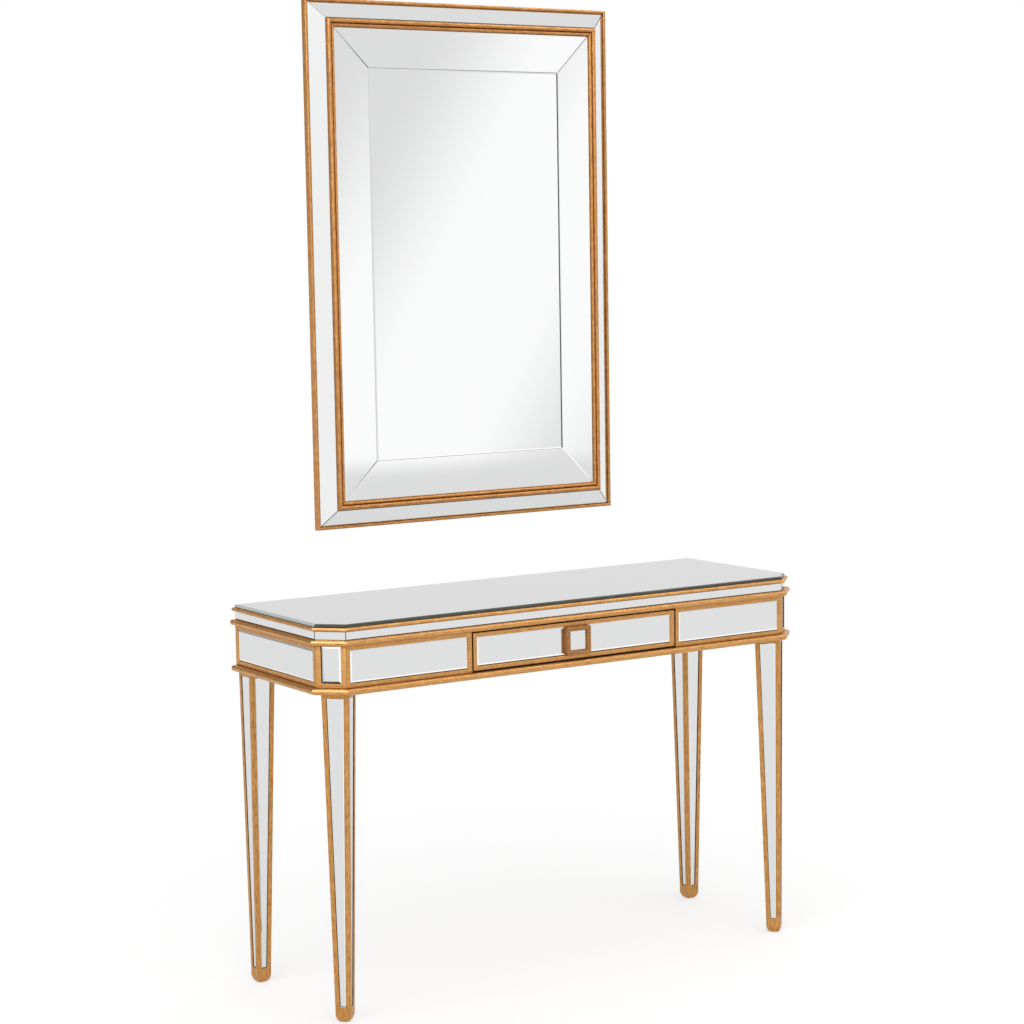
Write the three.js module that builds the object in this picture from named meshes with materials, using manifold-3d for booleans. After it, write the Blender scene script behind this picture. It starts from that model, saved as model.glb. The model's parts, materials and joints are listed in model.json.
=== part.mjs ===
// Mirrored vanity table with a wall mirror: a gilded wooden console whose faces are
// set with bevelled mirror glass, one drawer, four tapered legs, and a mirror in a
// matching stepped frame that hangs on the wall above it.
// Millimetres, +Z up, +X to the right, -Y towards the room. Floor at Z = 0.
import * as THREE from "three";
import { mergeVertices } from "three/addons/utils/BufferGeometryUtils.js";
import Module from "manifold-3d";

const wasm = await Module();
wasm.setup();

// ---- Driving dimensions: the table -------------------------------------------
const tableLength = 1156;
const tableDepth = 384;
const tableHeight = 787;
const cornerCut = 44; // the 45 degree cut across each front corner, along X and Y
const glassTopThickness = 6;
const glassTopBevel = 10;
const glassTopBevelDrop = 1.5;
const topBeadHeight = 8;
const topBeadOut = 7;
const friezeHeight = 16;
const friezeGlass = 3;
const waistBeadHeight = 12;
const waistBeadOut = 11;
const apronHeight = 82;
const apronThickness = 18;
const lowerBeadHeight = 13;
const lowerBeadOut = 11;
const panelStile = 8.5; // gilded margin left around each inset mirror
const panelRecess = 3; // how far an inset mirror lies behind its frame
const panelGlass = 4;
const panelBevel = 5;
const panelBevelDrop = 0.8;
const fitGap = 0.3; // joint between pieces that are glued or rest together

// ---- Driving dimensions: the legs --------------------------------------------
const legTopWidth = 54.5;
const legFootWidth = 31;
const legInset = 3.5; // leg face behind the apron face
const legAlongCut = 5; // front legs stand this much nearer the middle of the front
const legLean = 7; // how far each foot stands out from its leg's top, in X and in Y
const legStile = 9;
const legTopRail = 10;
const legPocket = 5;
const footBlockHeight = 29;
const footRoundHeight = 15;
const footFlatWidth = 14;
const legEdgeRadius = 1;
const tenonWidth = 20;
const tenonLength = 60;
const cornerBlockReach = 22;

// ---- Driving dimensions: the drawer ------------------------------------------
const drawerWidth = 494;
const drawerGap = 3.2; // open joint around the drawer front
const drawerSideThickness = 12;
const drawerSideHeight = 60;
const drawerBottomThickness = 5;
const drawerBottomRaise = 4;
const drawerSideInset = 7;
const drawerRearClearance = 28;
const runnerLedge = 6.4;
const runnerWall = 20;
const runnerPlay = 1.5;
const runnerHeight = 60;
const centreStile = 54; // solid part of the drawer front behind the knob
const knobWidth = 59;
const knobRim = 8.5;
const knobOut = 9.5;
const knobFloor = 3.3;
const knobGlass = 2;
const knobCornerRadius = 3;
const knobBossRadius = 6;
const knobBossLength = 8;
const screwRadius = 2;
const screwHeadRadius = 5;
const screwHeadHeight = 2.5;

// ---- Driving dimensions: the wall mirror -------------------------------------
const mirrorWidth = 745;
const mirrorHeight = 1086;
const mirrorAboveTable = 133; // clear height between the table top and the mirror
const wallGap = 28; // from the table's back edge to the wall
const outerBeadWidth = 6.5;
const outerBeadBase = 12;
const outerBeadRise = 3.3;
const outerStripWidth = 33.5;
const outerStripRise = 17.3; // the outer strips slope back to the wall by this much
const innerMouldingWidth = 17.5;
const innerMouldingRise = 8;
const innerStripWidth = 80;
const mirrorFace = 28; // from the wall to the face of the flat panes
const mirrorGlass = 4;
const mirrorBevel = 6;
const mirrorBevelDrop = 1;
const hangerWidth = 44;
const hangerHeight = 24;
const hangerThickness = 2;
const hangerPocket = 9;
const hangerFromTop = 70;
const hangerFromCentre = 250;
const keyholeRadius = 5.5;
const keySlotRadius = 2.6;
const keySlotLength = 12;

// ---- Levels worked out from the dimensions above -----------------------------
const glassTopLevel = tableHeight - glassTopThickness;
const friezeTop = glassTopLevel - topBeadHeight;
const waistTop = friezeTop - friezeHeight;
const apronTop = waistTop - waistBeadHeight;
const apronBottom = apronTop - apronHeight;
const legTop = apronBottom - lowerBeadHeight;
const halfLength = tableLength / 2;
const openingHalf = drawerWidth / 2 + drawerGap;

const beadSteps = 10;
const roundSteps = 24;

// ---- Materials ----------------------------------------------------------------
const finish = (color, roughness, metalness) =>
  new THREE.MeshStandardMaterial({ color, roughness, metalness });
const gilt = finish("#c08c4e", 0.42, 0.55);
const giltDark = finish("#a8743c", 0.45, 0.55);
const mirrorGlassFinish = finish("#dfe2e2", 0.04, 1);
const bareWood = finish("#b99a72", 0.75, 0);
const blackBoard = finish("#3b332c", 0.8, 0);
const zinc = finish("#b4b6b8", 0.35, 1);

// ---- Shape helpers -------------------------------------------------------------
// A closed surface from points and faces, turned so that its faces point out.
function closedSurface(points, faces) {
  let volume = 0;
  for (const [a, b, c] of faces) {
    const cross = new THREE.Vector3(...points[b]).cross(new THREE.Vector3(...points[c]));
    volume += new THREE.Vector3(...points[a]).dot(cross);
  }
  const outward = ([a, b, c]) => (volume > 0 ? [a, b, c] : [a, c, b]);
  const geometry = new THREE.BufferGeometry();
  geometry.setAttribute("position", new THREE.Float32BufferAttribute(points.flat(), 3));
  geometry.setIndex(faces.flatMap(outward));
  return faceted(geometry);
}

function faceted(geometry) {
  const loose = geometry.index ? geometry.toNonIndexed() : geometry;
  loose.computeVertexNormals();
  return loose;
}

// Twice the signed area of a ring seen along the axis that it faces most.
function flatten(ring) {
  const normal = new THREE.Vector3();
  ring.forEach((p, i) => {
    const q = ring[(i + 1) % ring.length];
    normal.add(new THREE.Vector3(...p).cross(new THREE.Vector3(...q)));
  });
  const size = normal.toArray().map(Math.abs);
  const drop = size.indexOf(Math.max(...size));
  const keep = [0, 1, 2].filter((axis) => axis !== drop);
  return ring.map((p) => new THREE.Vector2(p[keep[0]], p[keep[1]]));
}

function capFaces(ring, firstIndex, sameWay) {
  const flat = flatten(ring);
  const ringSign = Math.sign(THREE.ShapeUtils.area(flat));
  return THREE.ShapeUtils.triangulateShape(flat, []).map(([a, b, c]) => {
    const sign = Math.sign(THREE.ShapeUtils.area([flat[a], flat[b], flat[c]]));
    const keeps = (sign === ringSign) === sameWay;
    return (keeps ? [a, b, c] : [a, c, b]).map((i) => i + firstIndex);
  });
}

// A solid through a list of rings with equal numbers of points.
function loft(rings, isLoop = false) {
  const count = rings[0].length;
  const faces = [];
  const spans = isLoop ? rings.length : rings.length - 1;
  for (let i = 0; i < spans; i++) {
    const low = i * count;
    const high = ((i + 1) % rings.length) * count;
    for (let j = 0; j < count; j++) {
      const k = (j + 1) % count;
      faces.push([low + j, low + k, high + k], [low + j, high + k, high + j]);
    }
  }
  if (!isLoop) {
    const last = (rings.length - 1) * count;
    faces.push(...capFaces(rings[0], 0, false));
    faces.push(...capFaces(rings[rings.length - 1], last, true));
  }
  return closedSurface(rings.flat(), faces);
}

// Offsets a plan path outwards (to the right of its direction), with mitred corners.
function offsetPath(path, out, isLoop = true) {
  const normal = (a, b) => {
    const length = Math.hypot(b[0] - a[0], b[1] - a[1]);
    return [(b[1] - a[1]) / length, (a[0] - b[0]) / length];
  };
  const last = path.length - 1;
  return path.map((point, i) => {
    const before = i > 0 ? path[i - 1] : path[last];
    const after = i < last ? path[i + 1] : path[0];
    const n1 = i > 0 || isLoop ? normal(before, point) : normal(point, after);
    const n2 = i < last || isLoop ? normal(point, after) : n1;
    const scale = out / (1 + n1[0] * n2[0] + n1[1] * n2[1]);
    return [point[0] + (n1[0] + n2[0]) * scale, point[1] + (n1[1] + n2[1]) * scale];
  });
}

// A moulding: a profile of [out, level] points carried along a plan path with mitres.
function moulding(path, profile, isLoop = false) {
  const columns = profile.map(([out]) => offsetPath(path, out, isLoop));
  const rings = path.map((_, i) => profile.map(([, z], j) => [...columns[j][i], z]));
  return loft(rings, isLoop);
}

function slab(plan, low, high) {
  return loft([low, high].map((z) => plan.map(([x, y]) => [x, y, z])));
}

function block(x0, x1, y0, y1, z0, z1) {
  const box = new THREE.BoxGeometry(x1 - x0, y1 - y0, z1 - z0);
  return box.translate((x0 + x1) / 2, (y0 + y1) / 2, (z0 + z1) / 2);
}

function rod(radius, length) {
  const cylinder = new THREE.CylinderGeometry(radius, radius, length, roundSteps);
  return cylinder.rotateX(Math.PI / 2).translate(0, 0, length / 2);
}

// A glass pane over a flat outline, its front edge ground to a bevel. rise(x, y)
// lets the whole pane slope.
function pane(outline, thickness, bevel, drop, rise = () => 0) {
  const ring = (plan, z) => plan.map(([x, y]) => [x, y, z + rise(x, y)]);
  const inner = offsetPath(outline, -bevel);
  return loft([ring(outline, 0), ring(outline, thickness - drop), ring(inner, thickness)]);
}

function rectangle(halfWidth, halfHeight) {
  return [
    [-halfWidth, -halfHeight],
    [halfWidth, -halfHeight],
    [halfWidth, halfHeight],
    [-halfWidth, halfHeight],
  ];
}

function roundedSquare(half, radius, centre = [0, 0]) {
  const stepsPerCorner = 4;
  const points = [];
  for (let corner = 0; corner < 4; corner++) {
    for (let step = 0; step <= stepsPerCorner; step++) {
      const angle = (corner + step / stepsPerCorner) * (Math.PI / 2);
      const middle = (corner + 0.5) * (Math.PI / 2);
      const reach = (half - radius) * Math.SQRT2;
      points.push([
        centre[0] + reach * Math.cos(middle) + radius * Math.cos(angle),
        centre[1] + reach * Math.sin(middle) + radius * Math.sin(angle),
      ]);
    }
  }
  return points;
}

// A bead standing out from a face, from the level `low` up to `high`: flat above and
// below, with a full round on its front.
function nose(low, high, out) {
  const radius = Math.min(out, (high - low) / 2);
  const middle = (low + high) / 2;
  const points = [[0, low]];
  for (let i = 0; i <= beadSteps; i++) {
    const angle = -Math.PI / 2 + (Math.PI * i) / beadSteps;
    points.push([out - radius + radius * Math.cos(angle), middle + radius * Math.sin(angle)]);
  }
  points.push([0, high]);
  return points;
}

// ---- Cutting and joining -------------------------------------------------------
function solid(geometry) {
  const bare = geometry.clone();
  bare.deleteAttribute("normal");
  bare.deleteAttribute("uv");
  const merged = mergeVertices(bare, 1e-4);
  const mesh = new wasm.Mesh({
    numProp: 3,
    vertProperties: new Float32Array(merged.attributes.position.array),
    triVerts: new Uint32Array(merged.index.array),
  });
  return new wasm.Manifold(mesh);
}

function geometryOf(manifold) {
  const mesh = manifold.getMesh();
  const geometry = new THREE.BufferGeometry();
  geometry.setAttribute("position", new THREE.Float32BufferAttribute(mesh.vertProperties, 3));
  geometry.setIndex(new THREE.Uint32BufferAttribute(mesh.triVerts, 1));
  return faceted(geometry);
}

function cut(geometry, ...tools) {
  return geometryOf(tools.reduce((left, tool) => left.subtract(solid(tool)), solid(geometry)));
}

function join(geometry, ...others) {
  return geometryOf(others.reduce((whole, other) => whole.add(solid(other)), solid(geometry)));
}

// ---- The assembly ----------------------------------------------------------------
const vanity = new THREE.Group();
const table = new THREE.Group();
const drawer = new THREE.Group();
const wallMirror = new THREE.Group();
vanity.add(table, wallMirror);
table.add(drawer);

function add(group, name, geometry, material) {
  const mesh = new THREE.Mesh(geometry, material);
  mesh.name = name;
  group.add(mesh);
  return mesh;
}

// The table's plan, `inset` inside its outer faces: open at the back, where every
// moulding stops flush.
function faceLine(inset, back = 0) {
  const end = halfLength - inset;
  const front = -tableDepth + inset;
  const slant = inset * (Math.SQRT2 - 1);
  const cutAlong = halfLength - cornerCut - slant;
  const cutDeep = -tableDepth + cornerCut + slant;
  return [
    [-end, back],
    [-end, cutDeep],
    [-cutAlong, front],
    [cutAlong, front],
    [end, cutDeep],
    [end, back],
  ];
}

const sideNames = ["left_end", "left_corner", "front", "right_corner", "right_end"];

// The plan of one face's board or glass, from `outer` inset to `inner` inset.
function facePlan(side, outer, inner) {
  const a = faceLine(outer);
  const b = faceLine(inner);
  const plan = [a[side], a[side + 1], b[side + 1], b[side]];
  return shrinkEnds(plan, fitGap / 2);
}

// Draws in the two ends of a four-cornered plan along its length.
function shrinkEnds([a, b, c, d], amount) {
  const length = Math.hypot(b[0] - a[0], b[1] - a[1]);
  const step = [((b[0] - a[0]) / length) * amount, ((b[1] - a[1]) / length) * amount];
  const forward = ([x, y]) => [x + step[0], y + step[1]];
  const backward = ([x, y]) => [x - step[0], y - step[1]];
  return [forward(a), backward(b), backward(c), forward(d)];
}

// Puts a pane, made flat with +Z as its face, on an upright face of the table.
function onFace(mesh, [a, b], along, depth, level) {
  const length = Math.hypot(b[0] - a[0], b[1] - a[1]);
  const direction = [(b[0] - a[0]) / length, (b[1] - a[1]) / length];
  const inward = [-direction[1], direction[0]];
  mesh.rotation.set(Math.PI / 2, 0, Math.atan2(direction[1], direction[0]), "ZYX");
  mesh.position.set(
    a[0] + direction[0] * along + inward[0] * depth,
    a[1] + direction[1] * along + inward[1] * depth,
    level,
  );
}

// ---- Table top: mirror plate on a board, a thin bead and the mirrored frieze -------
{
  const glassPlan = faceLine(0);
  const plate = pane(glassPlan, glassTopThickness - fitGap, glassTopBevel, glassTopBevelDrop);
  add(table, "glass_top", plate, mirrorGlassFinish).position.z = glassTopLevel + fitGap;

  const boardPlan = faceLine(friezeGlass + fitGap);
  add(table, "top_board", slab(boardPlan, waistTop + fitGap, glassTopLevel), blackBoard);

  const low = friezeTop;
  const high = glassTopLevel;
  const beadProfile = [[-friezeGlass, low], ...nose(low, high, topBeadOut), [-friezeGlass, high]];
  add(table, "top_bead", moulding(faceLine(0), beadProfile), gilt);

  sideNames.forEach((name, side) => {
    const plan = facePlan(side, 0, friezeGlass);
    const strip = slab(plan, waistTop + fitGap, friezeTop - fitGap);
    add(table, `frieze_${name}`, strip, mirrorGlassFinish);
  });
}

// ---- Waist bead and lower bead: the two mouldings that hold the apron ---------------
{
  const ring = (low, high, out) => [
    [-apronThickness, low],
    ...nose(low, high, out),
    [-apronThickness, high],
  ];
  const waist = moulding(faceLine(0), ring(apronTop, waistTop, waistBeadOut));
  add(table, "waist_bead", waist, gilt);
  const lower = moulding(faceLine(0), ring(legTop, apronBottom, lowerBeadOut));
  add(table, "lower_bead", lower, gilt);
}

// ---- Apron: a framed board and a bevelled mirror on every face ----------------------
const pocketDepth = panelRecess + panelGlass + fitGap;
const apronLow = apronBottom + fitGap;
const apronHigh = apronTop - fitGap;

function panelHeight(low, high) {
  return high - low - 2 * panelStile;
}

// A rectangular pocket in an upright face, from `start` to `end` along it.
function facePocket([a, b], start, end, low, high) {
  const length = Math.hypot(b[0] - a[0], b[1] - a[1]);
  const ux = (b[0] - a[0]) / length;
  const uy = (b[1] - a[1]) / length;
  const at = (along, depth) => [a[0] + ux * along - uy * depth, a[1] + uy * along + ux * depth];
  const proud = 1;
  const plan = [at(start, -proud), at(end, -proud), at(end, pocketDepth), at(start, pocketDepth)];
  return slab(plan, low, high);
}

function insetPane(width, height) {
  const outline = rectangle(width / 2 - fitGap, height / 2 - fitGap);
  return pane(outline, panelGlass, panelBevel, panelBevelDrop);
}

// One board with its mirror: the face runs from a to b in plan.
function apronPanel(name, plan) {
  const face = [plan[0], plan[1]];
  const length = Math.hypot(plan[1][0] - plan[0][0], plan[1][1] - plan[0][1]);
  const low = apronLow + panelStile;
  const high = apronHigh - panelStile;
  const pocket = facePocket(face, panelStile, length - panelStile, low, high);
  add(table, `apron_${name}`, cut(slab(plan, apronLow, apronHigh), pocket), gilt);
  const glass = insetPane(length - 2 * panelStile, panelHeight(apronLow, apronHigh));
  const mesh = add(table, `panel_${name}`, glass, mirrorGlassFinish);
  onFace(mesh, face, length / 2, panelRecess + panelGlass, (low + high) / 2);
}

{
  const outer = faceLine(0);
  const inner = faceLine(apronThickness);
  const cornerX = outer[3][0];
  const innerX = inner[3][0];
  const frontY = -tableDepth;
  const backY = frontY + apronThickness;
  apronPanel("left_end", facePlan(0, 0, apronThickness));
  apronPanel("left_corner", facePlan(1, 0, apronThickness));
  apronPanel("front_left", [
    [-cornerX + fitGap / 2, frontY],
    [-openingHalf, frontY],
    [-openingHalf, backY],
    [-innerX + fitGap / 2, backY],
  ]);
  apronPanel("front_right", [
    [openingHalf, frontY],
    [cornerX - fitGap / 2, frontY],
    [innerX - fitGap / 2, backY],
    [openingHalf, backY],
  ]);
  apronPanel("right_corner", facePlan(3, 0, apronThickness));
  apronPanel("right_end", facePlan(4, 0, apronThickness));

  const reach = halfLength - apronThickness - fitGap;
  const board = block(-reach, reach, -apronThickness, 0, legTop + fitGap, waistTop - fitGap);
  add(table, "back_board", board, blackBoard);
}

// ---- Legs: square, tapered, with a long pocket for mirror glass in each face ---------
const legReach = legInset + legTopWidth / 2;
const legHeightTop = legTop - fitGap;

function legHalf(z) {
  const t = Math.max(0, (z - footBlockHeight) / (legTop - footBlockHeight));
  return (legFootWidth + (legTopWidth - legFootWidth) * t) / 2;
}

function legGeometry(footShift) {
  const centreAt = (z) => footShift.map((shift) => shift * (1 - z / legTop));
  const ringAt = (z, half, radius) =>
    roundedSquare(half, radius, centreAt(z)).map(([x, y]) => [x, y, z]);
  const rings = [];
  const roundCount = 6;
  const footHalf = legFootWidth / 2;
  const flatHalf = footFlatWidth / 2;
  for (let i = 0; i <= roundCount; i++) {
    const angle = ((Math.PI / 2) * i) / roundCount;
    const half = flatHalf + (footHalf - flatHalf) * Math.sin(angle);
    const z = footRoundHeight * (1 - Math.cos(angle));
    const soft = THREE.MathUtils.lerp(flatHalf * 0.7, legEdgeRadius, i / roundCount);
    rings.push(ringAt(z, half, soft));
  }
  rings.push(ringAt(footBlockHeight, footHalf, legEdgeRadius));
  rings.push(ringAt(legHeightTop, legHalf(legHeightTop), legEdgeRadius));
  const shaft = loft(rings);

  const pocketLow = footBlockHeight + 2;
  const pocketHigh = legTop - legTopRail;
  const pockets = [0, 1, 2, 3].map((face) => {
    const angle = face * (Math.PI / 2);
    const normal = [Math.cos(angle), Math.sin(angle)];
    const tangent = [-normal[1], normal[0]];
    const section = (z) => {
      const half = legHalf(z);
      const centre = centreAt(z);
      const proud = 1;
      const at = (n, t) => [
        centre[0] + normal[0] * n + tangent[0] * t,
        centre[1] + normal[1] * n + tangent[1] * t,
        z,
      ];
      const side = half - legStile;
      const floor = half - legPocket;
      return [at(floor, -side), at(half + proud, -side), at(half + proud, side), at(floor, side)];
    };
    return loft([section(pocketLow), section(pocketHigh)]);
  });
  const half = tenonWidth / 2;
  const tenon = block(-half, half, -half, half, legHeightTop - 1, legHeightTop + tenonLength);
  return join(cut(shaft, ...pockets), tenon);
}

const legSpots = {};
{
  const line = faceLine(0);
  const diagonal = Math.SQRT1_2;
  const cutMiddle = [(line[3][0] + line[4][0]) / 2, (line[3][1] + line[4][1]) / 2];
  const frontX = cutMiddle[0] - (legReach + legAlongCut) * diagonal;
  const frontY = cutMiddle[1] + (legReach - legAlongCut) * diagonal;
  const backX = halfLength - legReach;
  legSpots.front = [frontX, frontY];
  legSpots.back = [backX, -legReach];
  for (const [side, name] of [
    [-1, "left"],
    [1, "right"],
  ]) {
    const front = legGeometry([0, -legLean * Math.SQRT2]);
    const frontLeg = add(table, `leg_front_${name}`, front, gilt);
    frontLeg.position.set(side * frontX, frontY, 0);
    frontLeg.rotation.z = (side * Math.PI) / 4;
    const back = legGeometry([side * legLean, legLean]);
    add(table, `leg_back_${name}`, back, gilt).position.set(side * backX, -legReach, 0);
  }
}

// ---- Corner blocks: each has a mortise for its leg's tenon ---------------------------
{
  const blockLow = legTop + fitGap;
  const blockHigh = waistTop - fitGap;
  const inner = faceLine(apronThickness + fitGap);
  const mortiseHalf = tenonWidth / 2 + fitGap;
  const mortise = () => {
    const top = legTop + tenonLength + fitGap;
    return block(-mortiseHalf, mortiseHalf, -mortiseHalf, mortiseHalf, legTop - 1, top);
  };
  for (const [side, name] of [
    [-1, "left"],
    [1, "right"],
  ]) {
    const [cutX, frontY] = inner[3];
    const [endX, cutY] = inner[4];
    const nearX = cutX - cornerBlockReach;
    const farY = cutY + cornerBlockReach;
    const frontPlan = [
      [cutX, frontY],
      [endX, cutY],
      [endX, farY],
      [nearX, farY],
      [nearX, frontY],
    ].map(([x, y]) => [side * x, y]);
    const frontMortise = mortise().rotateZ(Math.PI / 4);
    frontMortise.translate(side * legSpots.front[0], legSpots.front[1], 0);
    const frontBlock = cut(slab(frontPlan, blockLow, blockHigh), frontMortise);
    add(table, `corner_block_front_${name}`, frontBlock, bareWood);

    const backReach = legReach + tenonWidth / 2 + cornerBlockReach;
    const backInset = apronThickness + fitGap;
    const sides = [side * endX, side * (halfLength - backReach)].sort((a, b) => a - b);
    const body = block(sides[0], sides[1], -backReach, -backInset, blockLow, blockHigh);
    const backMortise = mortise().translate(side * legSpots.back[0], legSpots.back[1], 0);
    add(table, `corner_block_back_${name}`, cut(body, backMortise), bareWood);
  }
}

// ---- Drawer runners: each carries one drawer side and keeps it straight --------------
const sideOuter = drawerWidth / 2 - drawerSideInset;
const runnerFront = -tableDepth + apronThickness + fitGap;
const runnerBack = -apronThickness - fitGap;
const ledgeTop = apronBottom + fitGap + runnerLedge;
{
  const ledgeIn = sideOuter - drawerSideThickness;
  const wallIn = sideOuter + runnerPlay;
  const wallOut = wallIn + runnerWall;
  const low = apronBottom + fitGap;
  for (const [side, name] of [
    [-1, "left"],
    [1, "right"],
  ]) {
    const profile = [
      [ledgeIn, low],
      [wallOut, low],
      [wallOut, low + runnerHeight],
      [wallIn, low + runnerHeight],
      [wallIn, ledgeTop],
      [ledgeIn, ledgeTop],
    ];
    const rings = [runnerFront, runnerBack].map((y) => profile.map(([x, z]) => [side * x, y, z]));
    add(table, `drawer_runner_${name}`, loft(rings), bareWood);
  }
}

// ---- Drawer: front with two mirror panes, box, and the square mirrored knob -----------
{
  const low = apronBottom + drawerGap;
  const high = apronTop - drawerGap;
  const half = drawerWidth / 2;
  const frontY = -tableDepth;
  const backY = frontY + apronThickness;
  const middle = (low + high) / 2;
  const face = [
    [-half, frontY],
    [half, frontY],
  ];
  const paneLow = low + panelStile;
  const paneHigh = high - panelStile;
  const paneWidth = (drawerWidth - centreStile) / 2 - panelStile;
  const leftStart = panelStile;
  const rightStart = half + centreStile / 2;
  const pocket = (start) => facePocket(face, start, start + paneWidth, paneLow, paneHigh);
  const faceForward = (geometry, y) => geometry.rotateX(Math.PI / 2).translate(0, y, middle);
  const bossHole = faceForward(rod(knobBossRadius + fitGap, knobBossLength + fitGap + 1), 0);
  bossHole.translate(0, frontY + knobBossLength + fitGap, 0);
  const screwHole = faceForward(rod(screwRadius + fitGap, apronThickness + 2), backY + 1);
  const frontBoard = cut(
    block(-half, half, frontY, backY, low, high),
    pocket(leftStart),
    pocket(rightStart),
    bossHole,
    screwHole,
  );
  add(drawer, "drawer_front", frontBoard, gilt);
  for (const [start, name] of [
    [leftStart, "left"],
    [rightStart, "right"],
  ]) {
    const glass = insetPane(paneWidth, paneHigh - paneLow);
    const mesh = add(drawer, `drawer_pane_${name}`, glass, mirrorGlassFinish);
    onFace(mesh, face, start + paneWidth / 2, panelRecess + panelGlass, middle);
  }

  const boxFront = backY + fitGap;
  const boxBack = -apronThickness - drawerRearClearance;
  const sideLow = ledgeTop + fitGap;
  const sideHigh = sideLow + drawerSideHeight;
  const sideInner = sideOuter - drawerSideThickness;
  for (const [side, name] of [
    [-1, "left"],
    [1, "right"],
  ]) {
    const [x0, x1] = [side * sideInner, side * sideOuter].sort((a, b) => a - b);
    const board = block(x0, x1, boxFront, boxBack, sideLow, sideHigh);
    add(drawer, `drawer_side_${name}`, board, bareWood);
  }
  const clearX = sideInner - fitGap;
  const rear = block(-clearX, clearX, boxBack - drawerSideThickness, boxBack, sideLow, sideHigh);
  add(drawer, "drawer_back", rear, bareWood);
  const floorLow = sideLow + drawerBottomRaise;
  const floorBack = boxBack - drawerSideThickness - fitGap;
  const floorHigh = floorLow + drawerBottomThickness;
  const floor = block(-clearX, clearX, boxFront, floorBack, floorLow, floorHigh);
  add(drawer, "drawer_bottom", floor, bareWood);

  // Knob: a square tray with a rim, a boss let into the drawer front, and a mirror.
  const halfKnob = knobWidth / 2;
  const ring = (size, radius, z) => roundedSquare(size, radius).map(([x, y]) => [x, y, z]);
  const edge = 1;
  const body = loft([
    ring(halfKnob, knobCornerRadius, 0),
    ring(halfKnob, knobCornerRadius, knobOut - edge),
    ring(halfKnob - edge, knobCornerRadius - edge / 2, knobOut),
  ]);
  const well = halfKnob - knobRim;
  const tray = cut(
    join(body, rod(knobBossRadius, knobBossLength + 1).translate(0, 0, -knobBossLength)),
    slab(rectangle(well, well), knobFloor, knobOut + 1),
    rod(screwRadius + fitGap, knobBossLength + fitGap).translate(0, 0, -knobBossLength - fitGap),
  );
  const knobSeat = frontY - fitGap;
  add(drawer, "knob_body", faceForward(tray, knobSeat), giltDark);
  const knobPane = pane(rectangle(well - fitGap, well - fitGap), knobGlass, 2, 0.4);
  knobPane.translate(0, 0, knobFloor + fitGap);
  add(drawer, "knob_mirror", faceForward(knobPane, knobSeat), mirrorGlassFinish);
  const shank = rod(screwRadius, apronThickness + screwHeadHeight);
  const screw = join(rod(screwHeadRadius, screwHeadHeight), shank);
  add(drawer, "knob_screw", faceForward(screw, backY + fitGap + screwHeadHeight), zinc);
}

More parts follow.
